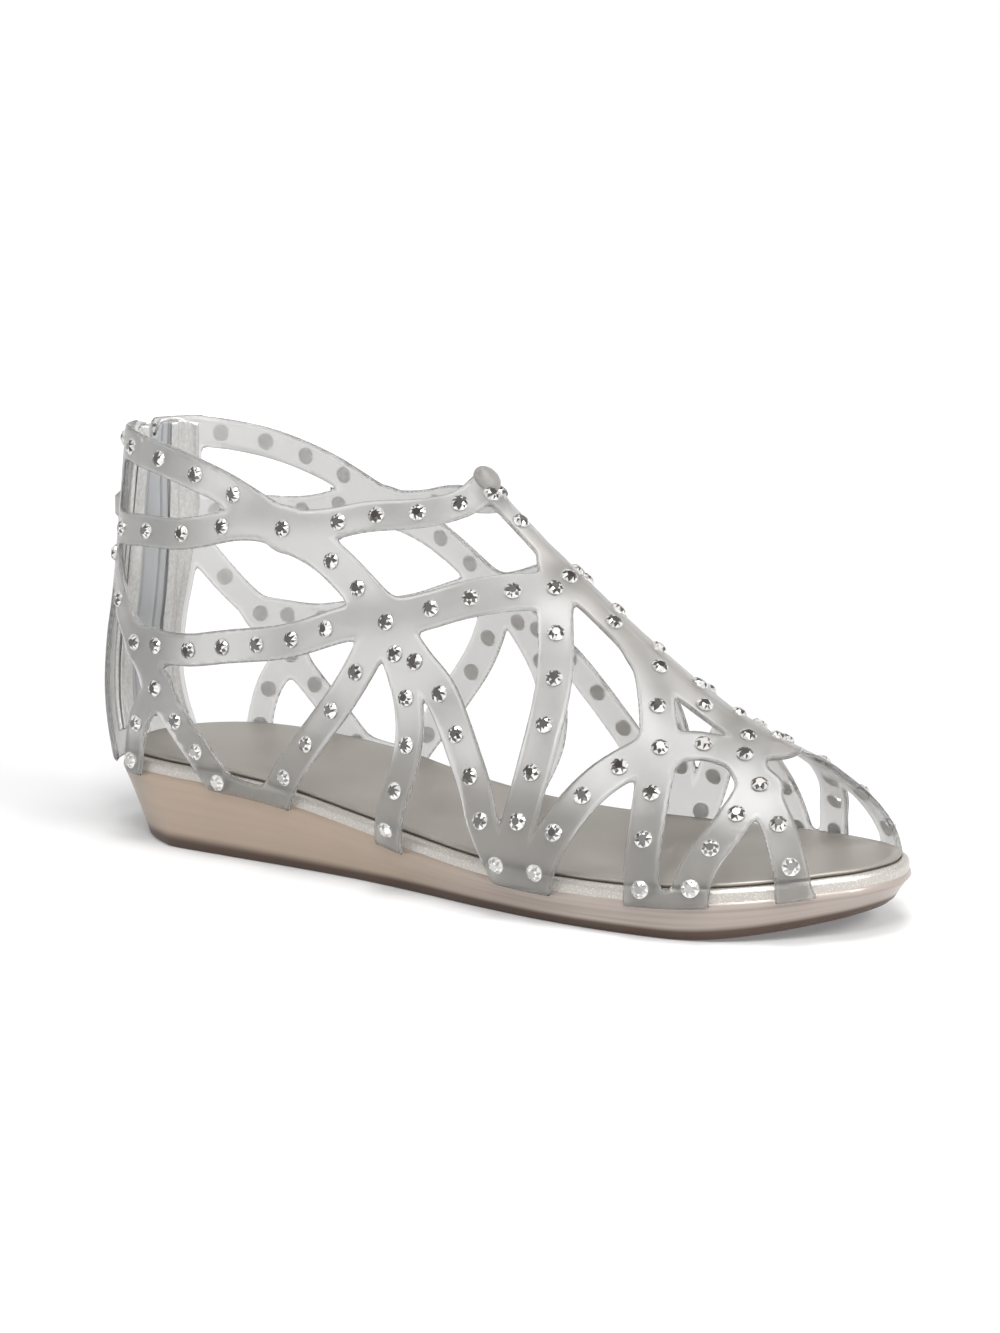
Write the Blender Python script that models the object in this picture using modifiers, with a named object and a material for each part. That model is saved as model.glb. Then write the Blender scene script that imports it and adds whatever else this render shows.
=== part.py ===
"""Jelly sandal: a moulded cage upper on a low wedge, closed by a zip at the heel.

Metres, +X to the toe, +Y to the inner (medial) side of a right foot, +Z up.
The origin is on the floor, under the middle of the heel.  The shape of the last is
stated once, in SECTIONS, and every soft piece is cut from it or laid against it.
Inside this file lengths are millimetres from the back of the girth line until a mesh
is made.
"""
import bmesh
import bpy
import numpy as np
from mathutils.geometry import delaunay_2d_cdt

MM = 0.001
CREASE = 0.7          # edges that turn by more radians than this are left sharp

# The last
LENGTH = 250.0        # heel to toe of the last
INSOLE_HALF = 39.8    # half the width of the insole at the ball
GIRTH_HALF = 45.0     # half the width outside the cage at the ball
SWING = 4.0           # how far the toe lies towards the inner side
HEEL_REST = 45.0      # from the back of the girth line to the origin
HEEL_SEAT = 20.5      # height of the insole's underside at the heel
INSTEP = 113.0        # height of the ridge at the throat
ROUND_SIDE = 1.6      # how square the side of a section is
ROUND_TOP = 1.5       # how flat the ridge of a section is
SWELL = 18.0          # height over which the side swells from the insole to the girth
HEEL_BULGE = 2.8      # how far the heel bulges back
HEEL_TUCK = 2.5       # how far it tucks in again at the foot
COLLAR_LEAN = 4.5     # how far the collar leans forward

# The pieces
WALL = 1.8            # wall of the moulded cage
GAP = 0.35            # clearance between neighbouring pieces
STRAP = 9.5           # width of a strap
STRAP_FLARE = 0.22    # extra width of a strap where it meets another
COLLAR_TOP = 117.5    # height of the heel band above the floor
FACING = 24.0         # width of a heel facing at the collar
LEATHER = 1.2         # thickness of a heel facing
TAPE_HALF = 12.5      # half the width of the zip tape
TAPE = 0.9            # thickness of the zip tape
CHAIN_HALF = 2.6      # half the width of the closed teeth
CHAIN = 1.7           # thickness of the closed teeth
ZIP_HALF = 3.6        # from the centre back to each edge of the cage
INSOLE = 5.0          # thickness of the wrapped insole
RAND = 3.2            # width of its rolled edge
SOCK = 1.6            # thickness of the padded sock
TOE_SPRING = 7.6      # rise of the tread at the toe
WEDGE_SLANT = 8.5     # how far the back of the wedge slants in
SIDE_SLANT = 3.0      # how far its sides slant in
TREAD_ROUND = 1.0     # height of the rounded lower edge
SLIDER = 10.0         # length of the zip slider
PULL = 23.0           # length of the pull below its hinge
PULL_OUT = 3.7        # from the face of the heel to the pull's pin
PULL_HALF = 3.4       # half the width of the pull's end
PULL_THICK = 2.9      # half its thickness

FACET = 6.0           # length of one facet along a strap
STATIONS = 40         # stations along one side of the sole

# One row for each section, heel to toe.  round: share of the way round one side.
# Then shares of named sizes.  along: of LENGTH.  insole: half width, of INSOLE_HALF.
# girth: half width, of GIRTH_HALF.  centre: middle line, of SWING.  seat: height of
# the insole's underside, of HEEL_SEAT.  close: height at which the section would
# close over the foot (the ridge, where there is one), of INSTEP.
SECTIONS = np.array([
    (0.00, 0.000, 0.000, 0.000, 0.00, 1.000, 1.90),
    (0.06, 0.018, 0.377, 0.367, 0.00, 1.000, 1.89),
    (0.12, 0.066, 0.636, 0.611, 0.00, 1.000, 1.86),
    (0.18, 0.128, 0.744, 0.718, 0.00, 1.000, 1.80),
    (0.26, 0.218, 0.764, 0.756, 0.00, 0.966, 1.645),
    (0.34, 0.310, 0.754, 0.784, -0.15, 0.878, 1.407),
    (0.42, 0.400, 0.744, 0.827, -0.45, 0.712, 1.221),
    (0.50, 0.490, 0.784, 0.889, -0.72, 0.566, 1.000),
    (0.58, 0.580, 0.879, 0.964, -0.65, 0.463, 0.827),
    (0.66, 0.670, 0.970, 1.000, -0.30, 0.420, 0.668),
    (0.74, 0.760, 1.000, 0.978, 0.10, 0.429, 0.522),
    (0.82, 0.846, 0.930, 0.911, 0.35, 0.478, 0.425),
    (0.88, 0.906, 0.761, 0.778, 0.55, 0.546, 0.381),
    (0.94, 0.960, 0.503, 0.556, 0.80, 0.624, 0.327),
    (0.97, 0.986, 0.314, 0.356, 0.92, 0.654, 0.305),
    (1.00, 1.000, 0.000, 0.000, 1.00, 0.673, 0.283),
])
COLUMNS = {"along": LENGTH, "insole": INSOLE_HALF, "girth": GIRTH_HALF,
           "centre": SWING, "seat": HEEL_SEAT, "close": INSTEP}
MIRRORED = {"insole", "girth"}

# Heel opening seen from behind.  height: share of COLLAR_TOP.  facing, band: shares of
# FACING, from the centre back to the front edge of a facing and of the cage's band.
HEEL = np.array([
    (0.17, 0.783, 0.883),
    (0.38, 0.708, 0.817),
    (0.53, 0.758, 0.883),
    (0.66, 0.867, 0.975),
    (0.78, 0.983, 1.025),
    (1.00, 0.996, 1.038),
])

# Named meeting points of the cage: share round the side, share up to the ridge.
POINTS = {
    "collar_back": (0.035, 0.352),
    "collar_cross": (0.332, 0.396),
    "band_middle": (0.050, 0.250),
    "heel_join": (0.155, 0.140),
    "heel_fork": (0.190, 0.098),
    "heel_foot": (0.132, -0.020),
    "waist_foot_back": (0.290, -0.015),
    "waist_foot_front": (0.326, -0.015),
    "hub": (0.466, 0.405),
    "arch_foot": (0.475, -0.020),
    "ball_foot_back": (0.636, -0.020),
    "ball_foot_front": (0.655, -0.020),
    "tongue": (0.516, 1.000),
    "instep_side": (0.610, 0.868),
    "instep": (0.610, 1.000),
    "vamp_side": (0.703, 0.950),
    "vamp_low": (0.750, 0.625),
    "side_foot": (0.776, -0.020),
    "toe_hub": (0.816, 1.000),
    "toe_hub_side": (0.820, 0.800),
    "toe_fork": (0.850, 0.665),
    "toe_foot_back": (0.819, -0.020),
    "toe_foot_front": (0.920, -0.020),
}

# One row for each strap of one side: the points that it passes through, and its
# width at the start and at the end, as shares of STRAP.
STRAPS = {
    "collar": (("collar_back", (0.170, 0.358), (0.255, 0.372), "collar_cross"), 0.95, 1.00),
    "ankle_back": (("band_middle", (0.133, 0.262), (0.225, 0.293), "collar_cross"), 1.00, 0.90),
    "ankle_front": (("collar_cross", (0.400, 0.497), (0.466, 0.650), (0.508, 0.820), "tongue"), 0.95, 0.75),
    "side": (("collar_cross", (0.390, 0.414), "hub"), 1.05, 1.15),
    "heel": (("band_middle", (0.110, 0.180), "heel_join", "heel_fork"), 0.85, 1.00),
    "heel_back": (("heel_fork", (0.162, 0.056), "heel_foot"), 0.85, 0.85),
    "heel_front": (("heel_fork", (0.235, 0.048), "waist_foot_back"), 0.90, 1.00),
    "middle_back": (("heel_join", (0.245, 0.160), (0.355, 0.247), "hub"), 0.95, 1.05),
    "middle_front": (("hub", (0.520, 0.540), (0.573, 0.712), "instep_side", "instep"), 1.05, 1.25),
    "waist": (("hub", (0.420, 0.205), "waist_foot_front"), 1.05, 1.00),
    "arch": (("hub", (0.504, 0.295), (0.507, 0.170), "arch_foot"), 0.95, 0.95),
    "ball_back": (("hub", (0.505, 0.385), (0.543, 0.355), (0.587, 0.235), (0.607, 0.140),
                   "ball_foot_back"), 1.05, 1.00),
    "ball_front": (("instep_side", (0.642, 0.605), (0.648, 0.315), "ball_foot_back"), 1.00, 1.05),
    "vamp_down": (("vamp_side", (0.730, 0.775), "vamp_low"), 1.05, 1.00),
    "vamp_back": (("vamp_low", (0.705, 0.360), "ball_foot_front"), 1.00, 1.05),
    "vamp_foot": (("vamp_low", (0.765, 0.330), "side_foot"), 1.00, 1.00),
    "vamp_front": (("vamp_low", (0.783, 0.745), "toe_hub_side"), 0.95, 1.00),
    "toe_over": (("toe_hub", "toe_hub_side", "toe_fork"), 1.10, 0.95),
    "toe_back": (("toe_fork", (0.840, 0.400), (0.826, 0.200), "toe_foot_back"), 0.95, 1.00),
    "toe_front": (("toe_fork", (0.888, 0.450), (0.911, 0.215), "toe_foot_front"), 0.90, 0.95),
}

# Straps along the ridge: share round of each end, width at each end as shares of STRAP.
RIDGE = {
    "ridge_back": (0.510, 0.612, 0.85, 0.95),
    "ridge_middle": (0.605, 0.705, 1.45, 1.60),
    "ridge_front": (0.700, 0.822, 1.60, 1.70),
}

# Webs that join neighbouring straps above the sole: share round of each end, share up.
WEBS = (
    (0.282, 0.334, 0.022),
    (0.628, 0.664, 0.050),
    (0.770, 0.826, 0.075),
)


def clear_scene():
    for obj in list(bpy.data.objects):
        bpy.data.objects.remove(obj, do_unlink=True)
    for coll in list(bpy.data.collections):
        bpy.data.collections.remove(coll)


def column(name, share):
    """A column of SECTIONS in millimetres, as a smooth curve of the share round the side."""
    knots = SECTIONS[:, 0]
    values = SECTIONS[:, 1 + list(COLUMNS).index(name)] * COLUMNS[name]
    turn = -1.0 if name in MIRRORED else 1.0
    knots = np.r_[-knots[1], knots, 2.0 - knots[-2]]
    values = np.r_[turn * values[1], values, turn * values[-2]]
    slope = np.gradient(values, knots)
    share = np.asarray(share, float)
    i = np.clip(np.searchsorted(knots, share) - 1, 0, len(knots) - 2)
    step = knots[i + 1] - knots[i]
    t = (share - knots[i]) / step
    return ((1 + 2 * t) * (1 - t) ** 2 * values[i]
            + t * (1 - t) ** 2 * step * slope[i]
            + t * t * (3 - 2 * t) * values[i + 1]
            + t * t * (t - 1) * step * slope[i + 1])


def girth_length():
    """Length of the girth line of one side, from the heel to the toe."""
    share = np.linspace(0.0, 1.0, 401)
    return np.hypot(np.diff(column("along", share)), np.diff(column("girth", share))).sum()


AROUND = girth_length()


def last(share, over):
    """Point on the outside of the cage.

    over runs 0 at the outer (lateral) foot, 1 on the ridge, 2 at the inner foot.
    """
    share = np.asarray(share, float)
    over = np.asarray(over, float)
    side = np.where(over <= 1.0, -1.0, 1.0)
    up = 1.0 - np.abs(1.0 - over)
    rise = 1.0 - np.abs(1.0 - up) ** ROUND_TOP
    along = column("along", share)
    insole = column("insole", share)
    girth = column("girth", share)
    seat = column("seat", share)
    z = seat + (column("close", share) - seat) * rise
    narrow = (1.0 - np.clip(rise, 0.0, 1.0) ** ROUND_SIDE) ** (1.0 / ROUND_TOP)
    low = np.clip(1.0 - (z - seat) / SWELL, 0.0, 1.0) ** 2
    d = 0.004
    turn = ((column("insole", share + d) - column("insole", share - d))
            / np.maximum(column("along", share + d) - column("along", share - d), 0.05))
    slant = np.minimum(np.hypot(1.0, turn), np.where(share < 0.5, 1.05, 1.5))
    foot = insole + (WALL + 1.8 * GAP) * slant * np.clip(insole / (0.2 * INSOLE_HALF), 0.0, 1.0)
    half = girth * narrow + (foot - girth) * low
    leaning = np.clip(2.0 * z / COLLAR_TOP - 1.0, 0.0, 1.2)
    bulging = np.exp(-((z - 2.1 * HEEL_SEAT) / (0.17 * COLLAR_TOP)) ** 2)
    lean = COLLAR_LEAN * leaning - HEEL_BULGE * bulging + HEEL_TUCK * low
    x = along + lean * np.clip(1.0 - along / (0.24 * LENGTH), 0.0, 1.0)
    return np.stack([x, column("centre", share) + side * half, z], -1)


def slopes(share, over):
    """Millimetres moved on the last for a unit of each share."""
    d = 1e-4
    return ((last(share + d, over) - last(share - d, over)) / (2 * d),
            (last(share, over + d) - last(share, over - d)) / (2 * d))


def outward(share, over):
    """Unit normal of the last, pointing away from the foot."""
    around, up = slopes(np.asarray(share, float), np.asarray(over, float))
    n = np.cross(around, up)
    return n / np.maximum(np.linalg.norm(n, axis=-1, keepdims=True), 1e-12)


def layer(share, over, depth):
    """Point at a depth inside the outside of the cage."""
    return last(share, over) - outward(share, over) * depth


def height_share(height):
    """Share up the centre back at which the last reaches a height."""
    seat = column("seat", 0.0)
    rise = (height - seat) / (column("close", 0.0) - seat)
    return 1.0 - (1.0 - rise) ** (1.0 / ROUND_TOP)


def heel_edge(up, which):
    """Share round from the centre back to an edge of the heel opening."""
    seat = column("seat", 0.0)
    height = seat + (column("close", 0.0) - seat) * (1.0 - (1.0 - up) ** ROUND_TOP)
    return np.interp(height / COLLAR_TOP, HEEL[:, 0], HEEL[:, which]) * FACING / AROUND


def material(name, colour, rough, metal=0.0, through=0.0):
    mat = bpy.data.materials.new(name)
    mat.use_nodes = True
    bsdf = mat.node_tree.nodes["Principled BSDF"]
    bsdf.inputs["Base Color"].default_value = (*colour, 1.0)
    bsdf.inputs["Roughness"].default_value = rough
    bsdf.inputs["Metallic"].default_value = metal
    bsdf.inputs["Transmission Weight"].default_value = through
    return mat


def add_mesh(coll, name, verts, faces, mat, weld=1e-6, closed=True):
    """Mesh object from millimetre points, welded; a closed one gets outward normals."""
    mesh = bpy.data.meshes.new(name)
    placed = (np.asarray(verts) - (HEEL_REST, 0.0, 0.0)) * MM
    mesh.from_pydata([tuple(v) for v in placed], [], faces)
    bm = bmesh.new()
    bm.from_mesh(mesh)
    bmesh.ops.remove_doubles(bm, verts=bm.verts, dist=weld)
    bmesh.ops.dissolve_degenerate(bm, edges=bm.edges, dist=weld)
    if closed:
        bmesh.ops.recalc_face_normals(bm, faces=bm.faces)
    for face in bm.faces:
        face.smooth = True
    for edge in bm.edges:
        edge.smooth = not edge.is_boundary and edge.calc_face_angle(0.0) < CREASE
    bm.to_mesh(mesh)
    bm.free()
    mesh.materials.append(mat)
    obj = bpy.data.objects.new(name, mesh)
    coll.objects.link(obj)
    return obj


def grid_faces(rows, cols, closed=False):
    faces = []
    for i in range(rows - 1):
        for j in range(cols if closed else cols - 1):
            k = (j + 1) % cols
            faces.append((i * cols + j, i * cols + k, (i + 1) * cols + k, (i + 1) * cols + j))
    return faces


def plate(coll, name, outer, inner, mat):
    """Closed solid between two grids of points of the same shape."""
    rows, cols = outer.shape[:2]
    count = rows * cols
    verts = np.concatenate([outer.reshape(-1, 3), inner.reshape(-1, 3)])
    front = grid_faces(rows, cols)
    faces = front + [tuple(count + k for k in reversed(f)) for f in front]
    rim = ([(0, j) for j in range(cols)] + [(i, cols - 1) for i in range(1, rows)]
           + [(rows - 1, j) for j in range(cols - 2, -1, -1)] + [(i, 0) for i in range(rows - 2, 0, -1)])
    for a, b in zip(rim, rim[1:] + rim[:1]):
        p = a[0] * cols + a[1]
        q = b[0] * cols + b[1]
        faces.append((q, p, count + p, count + q))
    return add_mesh(coll, name, verts, faces, mat)


def outline():
    """Plan outline of the insole, both sides in one closed loop, and its spine."""
    even = np.linspace(0.0, 1.0, STATIONS)
    share = 0.4 * even + 0.3 * (1.0 - np.cos(np.pi * even))
    half = column("insole", share)
    centre = column("centre", share)
    along = column("along", share)
    inside = WALL + 2 * GAP + HEEL_TUCK
    along = along + inside * np.clip(1.0 - along / (0.112 * LENGTH), 0.0, 1.0)
    x = np.concatenate([along, along[-2:0:-1]])
    y = np.concatenate([centre - half, (centre + half)[-2:0:-1]])
    spine = np.clip(x, 0.12 * LENGTH, 0.85 * LENGTH)
    return np.column_stack([x, y]), np.column_stack([spine, np.interp(spine, along, centre)])


def seat_at(x):
    """Height of the insole's underside at a distance from the heel."""
    share = np.linspace(0.0, 1.0, 201)
    return np.interp(x, column("along", share), column("seat", share))


def tread_at(x):
    """Height of the tread: flat from the heel to the ball, then the toe spring."""
    return TOE_SPRING * np.clip((x / LENGTH - 0.816) / 0.184, 0.0, 1.1) ** 1.7


def slab(coll, name, rows, mat):
    """Closed solid from rings; each row is (inset from the outline, share to the spine, height)."""
    rings = []
    edge, spine = outline()
    out = edge - spine
    reach = np.linalg.norm(out, axis=-1)
    for inset, inward, height in rows:
        cut = inset(edge[:, 0]) if callable(inset) else inset
        flat = spine + out * ((1.0 - cut / reach) * (1.0 - inward))[:, None]
        rings.append(np.column_stack([flat, height(flat[:, 0])]))
    verts = np.concatenate(rings)
    faces = grid_faces(len(rings), len(rings[0]), closed=True)
    return add_mesh(coll, name, verts, faces, mat, weld=2e-5)


def above_seat(level):
    """Height rule: a level above the insole's underside."""
    return lambda x: seat_at(x) + level


def build_sole(coll):
    """Wedge and forefoot sole, moulded in one, with a rounded lower edge."""
    mat = material("wedge_champagne", (0.62, 0.50, 0.41), 0.42)
    lip = WALL + GAP

    def slant(down):
        def cut(x):
            back = np.clip(1.0 - x / (0.136 * LENGTH), 0.0, 1.0) ** 0.8
            toe = np.clip((x / LENGTH - 0.86) / 0.14, 0.0, 1.0)
            return down * (SIDE_SLANT * (1.0 + 0.8 * toe) + WEDGE_SLANT * back) - lip
        return cut

    def side(down, lift=0.0):
        def height(x):
            top = seat_at(x) - GAP
            return top + (tread_at(x) - top) * down + lift
        return height

    rows = [
        (0.0, 1.0, above_seat(-GAP)),
        (0.0, 0.5, above_seat(-GAP)),
        (0.0, 0.0, above_seat(-GAP)),
        (0.5 - lip, 0.0, above_seat(-GAP)),
        (slant(0.0), 0.0, side(0.06)),
        (slant(0.36), 0.0, side(0.40)),
        (slant(0.72), 0.0, side(0.76)),
        (slant(0.90), 0.0, side(1.0, TREAD_ROUND)),
        (slant(1.20), 0.0, side(1.0)),
        (slant(1.20), 0.5, side(1.0)),
        (0.0, 1.0, side(1.0)),
    ]
    return slab(coll, "sole_unit", rows, mat)


def build_insole(coll):
    """Wrapped insole board with a rolled rand round a shallow bed for the sock."""
    mat = material("insole_silver", (0.52, 0.49, 0.46), 0.38, 0.6)
    bed = above_seat(INSOLE - 0.25 * SOCK)
    rows = [
        (0.0, 1.0, bed),
        (RAND, 0.5, bed),
        (RAND, 0.0, bed),
        (0.8 * RAND, 0.0, above_seat(1.06 * INSOLE)),
        (0.4 * RAND, 0.0, above_seat(1.06 * INSOLE)),
        (0.1 * RAND, 0.0, above_seat(0.80 * INSOLE)),
        (0.0, 0.0, above_seat(0.45 * INSOLE)),
        (0.2 * RAND, 0.0, above_seat(0.0)),
        (0.2 * RAND, 0.5, above_seat(0.0)),
        (0.0, 1.0, above_seat(0.0)),
    ]
    return slab(coll, "insole", rows, mat)


def build_sock(coll):
    """Padded sock laid in the bed of the insole."""
    mat = material("sock_silver", (0.56, 0.53, 0.50), 0.40, 0.5)
    low = INSOLE - 0.25 * SOCK + GAP
    inset = RAND + 1.6 * GAP
    rows = [
        (0.0, 1.0, above_seat(low + SOCK)),
        (inset + 1.0, 0.5, above_seat(low + SOCK)),
        (inset + 1.0, 0.0, above_seat(low + SOCK)),
        (inset, 0.0, above_seat(low + 0.6 * SOCK)),
        (inset, 0.0, above_seat(low)),
        (inset, 0.5, above_seat(low)),
        (0.0, 1.0, above_seat(low)),
    ]
    return slab(coll, "sock_lining", rows, mat)


def path_points(points, step):
    """Smooth path through (round, over) points, sampled at even distances."""
    knots = np.array([POINTS[p] if isinstance(p, str) else p for p in points], float)
    ends = np.vstack([2 * knots[0] - knots[1], knots, 2 * knots[-1] - knots[-2]])
    t = np.linspace(0.0, 1.0, 24, endpoint=False)[:, None]
    fine = [0.5 * (2 * b + (c - a) * t + (2 * a - 5 * b + 4 * c - d) * t ** 2
                   + (3 * b - a - 3 * c + d) * t ** 3)
            for a, b, c, d in zip(ends, ends[1:], ends[2:], ends[3:])]
    fine = np.vstack(fine + [knots[-1:]])
    solid = last(fine[:, 0], fine[:, 1])
    run = np.r_[0.0, np.cumsum(np.linalg.norm(np.diff(solid, axis=0), axis=1))]
    even = np.linspace(0.0, run[-1], max(int(round(run[-1] / step)), 2) + 1)
    return np.column_stack([np.interp(even, run, fine[:, 0]), np.interp(even, run, fine[:, 1])]), run[-1]


def sideways(path, reach):
    """Offset of a path across the last by a distance in millimetres, in shares."""
    a, b = slopes(path[:, 0], path[:, 1])
    step = np.gradient(path, axis=0)
    ahead = a * step[:, :1] + b * step[:, 1:]
    ahead /= np.linalg.norm(ahead, axis=1, keepdims=True)
    across = np.cross(outward(path[:, 0], path[:, 1]), ahead) * reach[:, None]
    aa, ab, bb = (a * a).sum(1), (a * b).sum(1), (b * b).sum(1)
    pa, pb = (a * across).sum(1), (b * across).sum(1)
    det = aa * bb - ab * ab
    return np.column_stack([(pa * bb - pb * ab) / det, (pb * aa - pa * ab) / det])


def ribbon(points, start, end):
    """Outline of a strap as a loop of (round, over) points, flared at both ends."""
    path, run = path_points(points, FACET)
    here = np.linspace(0.0, run, len(path))
    wide = STRAP * np.interp(here, [0.0, run], [start, end])
    ends = np.exp(-here / (0.5 * STRAP)) + np.exp((here - run) / (0.5 * STRAP))
    off = sideways(path, wide * (1.0 + STRAP_FLARE * ends) / 2.0)
    return np.vstack([path + off, (path - off)[::-1]])


def mirrored(loop):
    """The same loop on the inner side."""
    return np.column_stack([loop[:, 0], 2.0 - loop[:, 1]])[::-1]


def band_loop():
    """Heel band of one side, along the zip."""
    up = np.linspace(0.0, height_share(COLLAR_TOP), 16)
    edge = np.full(len(up), ZIP_HALF / AROUND)
    return np.vstack([np.column_stack([edge, up]), np.column_stack([heel_edge(up, 2), up])[::-1]])


def web_loop(first, final, up):
    """Low web between the feet of neighbouring straps."""
    around = np.array([first, (first + final) / 2, final])
    low = np.column_stack([around, 0 * around])
    high = np.column_stack([around, 0 * around + up])
    return np.vstack([low, high[::-1]])


def tidy(loop):
    """Keep a loop inside the cage, without short edges, and turning one way."""
    flat = (AROUND, INSTEP)
    loop = loop.copy()
    loop[:, 0] = np.maximum(loop[:, 0], ZIP_HALF / AROUND)
    loop[:, 1] = np.clip(loop[:, 1], 0.0, 2.0)
    keep = [0]
    for k in range(1, len(loop)):
        if np.abs((loop[k] - loop[keep[-1]]) * flat).max() > GAP:
            keep.append(k)
    if np.abs((loop[keep[-1]] - loop[keep[0]]) * flat).max() < GAP:
        keep.pop()
    loop = loop[keep]
    ahead = np.roll(loop, -1, axis=0)
    turning = (loop[:, 0] * ahead[:, 1] - loop[:, 1] * ahead[:, 0]).sum()
    return loop if turning > 0 else loop[::-1]


def cage_loops():
    """Outlines of all straps of the cage: both sides, the ridge, bands, webs and knob."""
    sides = [ribbon(*row) for row in STRAPS.values()]
    sides += [band_loop()] + [web_loop(*row) for row in WEBS]
    loops = sides + [mirrored(loop) for loop in sides]
    for first, final, start, end in RIDGE.values():
        loops.append(ribbon(((first, 1.0), ((first + final) / 2, 1.0), (final, 1.0)), start, end))
    turn = np.linspace(0.0, 2 * np.pi, 10, endpoint=False)
    loops.append(np.array([0.513, 1.0]) + np.column_stack([0.011 * np.cos(turn), 0.13 * np.sin(turn)]))
    return [tidy(loop) for loop in loops]


def inner_points():
    """Points inside the straps and the heel band, so that wide parts keep the curve of the last."""
    rows = []
    for points, _, _ in STRAPS.values():
        path, _ = path_points(points, 1.5 * FACET)
        rows.append(path[1:-1])
    part, up = np.meshgrid(np.linspace(0.0, 1.0, 6)[1:-1],
                           np.linspace(0.0, height_share(COLLAR_TOP), 16)[1:-1])
    share = ZIP_HALF / AROUND * (1.0 - part) + heel_edge(up, 1) * part
    rows.append(np.column_stack([share.ravel(), up.ravel()]))
    side = np.vstack(rows)
    side = side[side[:, 1] > 0.02]
    return np.vstack([side, np.column_stack([side[:, 0], 2.0 - side[:, 1]])])


def build_upper(coll):
    """The cage: all straps united in the plane of the two shares, then laid on the last."""
    mat = material("jelly_frosted", (0.80, 0.80, 0.79), 0.30, 0.0, 0.4)
    flat = (AROUND, INSTEP)
    verts = []
    faces = []
    for loop in cage_loops():
        start = len(verts)
        verts += [tuple(p) for p in loop * flat]
        faces.append(list(range(start, len(verts))))
    verts += [tuple(p) for p in inner_points() * flat]
    points, _, tris, _, _, source = delaunay_2d_cdt(verts, [], faces, 1, 0.12)
    shares = np.array([tuple(p) for p in points]) / flat
    kept = [tuple(t) for t, s in zip(tris, source) if s]
    upper = add_mesh(coll, "upper", last(shares[:, 0], shares[:, 1]), kept, mat, weld=1e-5, closed=False)
    solid = upper.modifiers.new("wall", "SOLIDIFY")
    solid.thickness = WALL * MM
    solid.offset = -1.0
    solid.use_rim = True
    return upper


def build_heel(coll):
    """Facings, tape and closed chain of the zip, laid inside the heel of the cage."""
    leather = material("facing_silver", (0.60, 0.59, 0.57), 0.42, 0.5)
    grey = material("zip_tape_grey", (0.42, 0.42, 0.42), 0.80)
    dark = material("zip_metal", (0.35, 0.34, 0.33), 0.35, 0.8)
    top = height_share(COLLAR_TOP - 0.5)
    foot = height_share(HEEL_SEAT + 1.5 * INSOLE)
    up = np.linspace(foot, top, 30)
    for name, inner in (("back_facing_lateral", False), ("back_facing_medial", True)):
        part, v = np.meshgrid(np.linspace(0.0, 1.0, 6), up, indexing="ij")
        s = ZIP_HALF / AROUND * (1.0 - part) + heel_edge(v, 1) * part
        q = 2.0 - v if inner else v
        depth = WALL + 2.0 * GAP
        plate(coll, name, layer(s, q, depth), layer(s, q, depth + LEATHER), leather)

    def across(half, count):
        s, v = np.meshgrid(np.linspace(-half, half, count) / AROUND, up, indexing="ij")
        return np.abs(s), np.where(s < 0, v, 2.0 - v)

    s, q = across(TAPE_HALF, 9)
    depth = WALL + LEATHER + 3.0 * GAP
    plate(coll, "zip_tape", layer(s, q, depth), layer(s, q, depth + TAPE), grey)
    s, q = across(CHAIN_HALF, 4)
    depth = WALL + LEATHER + GAP
    plate(coll, "zip_chain", layer(s, q, depth - CHAIN), layer(s, q, depth), dark)
    return dark


def bar(coll, name, mat, rows):
    """Flat bar down the centre back; each row is (x, z, half width, half thickness)."""
    rings = []
    for x, z, w, t in rows:
        cut = 0.45 * min(w, t)
        corners = ((-1, -1, 0), (-1, 1, 0), (-1, 1, 1), (1, 1, 1),
                   (1, 1, 0), (1, -1, 0), (1, -1, 1), (-1, -1, 1))
        rings.append([(x + sx * (t - (cut if k else 0)), sy * (w - (0 if k else cut)), z)
                      for sx, sy, k in corners])
    verts = np.array(rings).reshape(-1, 3)
    faces = grid_faces(len(rings), 8, closed=True)
    faces += [tuple(range(7, -1, -1)), tuple(range(len(verts) - 8, len(verts)))]
    return add_mesh(coll, name, verts, faces, mat)


def build_slider(coll, mat):
    """Slider at the top of the closed zip, and the pull that hangs from it."""
    top = COLLAR_TOP - 3.0
    middle = top - 0.5 * SLIDER
    face = float(last(0.0, height_share(middle))[0]) - 1.6 * GAP
    body = CHAIN_HALF + 0.7
    slider = bar(coll, "zip_slider", mat, [
        (face - 1.2, middle - 0.5 * SLIDER, CHAIN_HALF, 0.7),
        (face - 1.3, middle - 0.35 * SLIDER, body, 1.2),
        (face - 1.3, middle + 0.35 * SLIDER, body, 1.2),
        (face - 1.2, middle + 0.5 * SLIDER, CHAIN_HALF, 0.7),
    ])
    x = face - PULL_OUT
    z = middle + 0.15 * SLIDER
    pull = bar(coll, "zip_pull", mat, [
        (x, z + 0.9, 1.6, 0.6),
        (x, z - 0.04 * PULL, 1.9, 0.6),
        (x - 0.4, z - 0.48 * PULL, 2.2, 0.6),
        (x - 0.9, z - 0.61 * PULL, 2.6, 0.9),
        (x - 1.7, z - 0.70 * PULL, PULL_HALF, PULL_THICK),
        (x - 1.7, z - 0.93 * PULL, PULL_HALF, PULL_THICK),
        (x - 1.5, z - PULL, 0.7 * PULL_HALF, 0.6 * PULL_THICK),
    ])
    pivot = bpy.data.objects.new("pull_hinge", None)
    pivot.location = ((x - HEEL_REST) * MM, 0.0, z * MM)
    coll.objects.link(pivot)
    for v in pull.data.vertices:
        v.co.x -= pivot.location.x
        v.co.z -= pivot.location.z
    pull.parent = pivot


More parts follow.
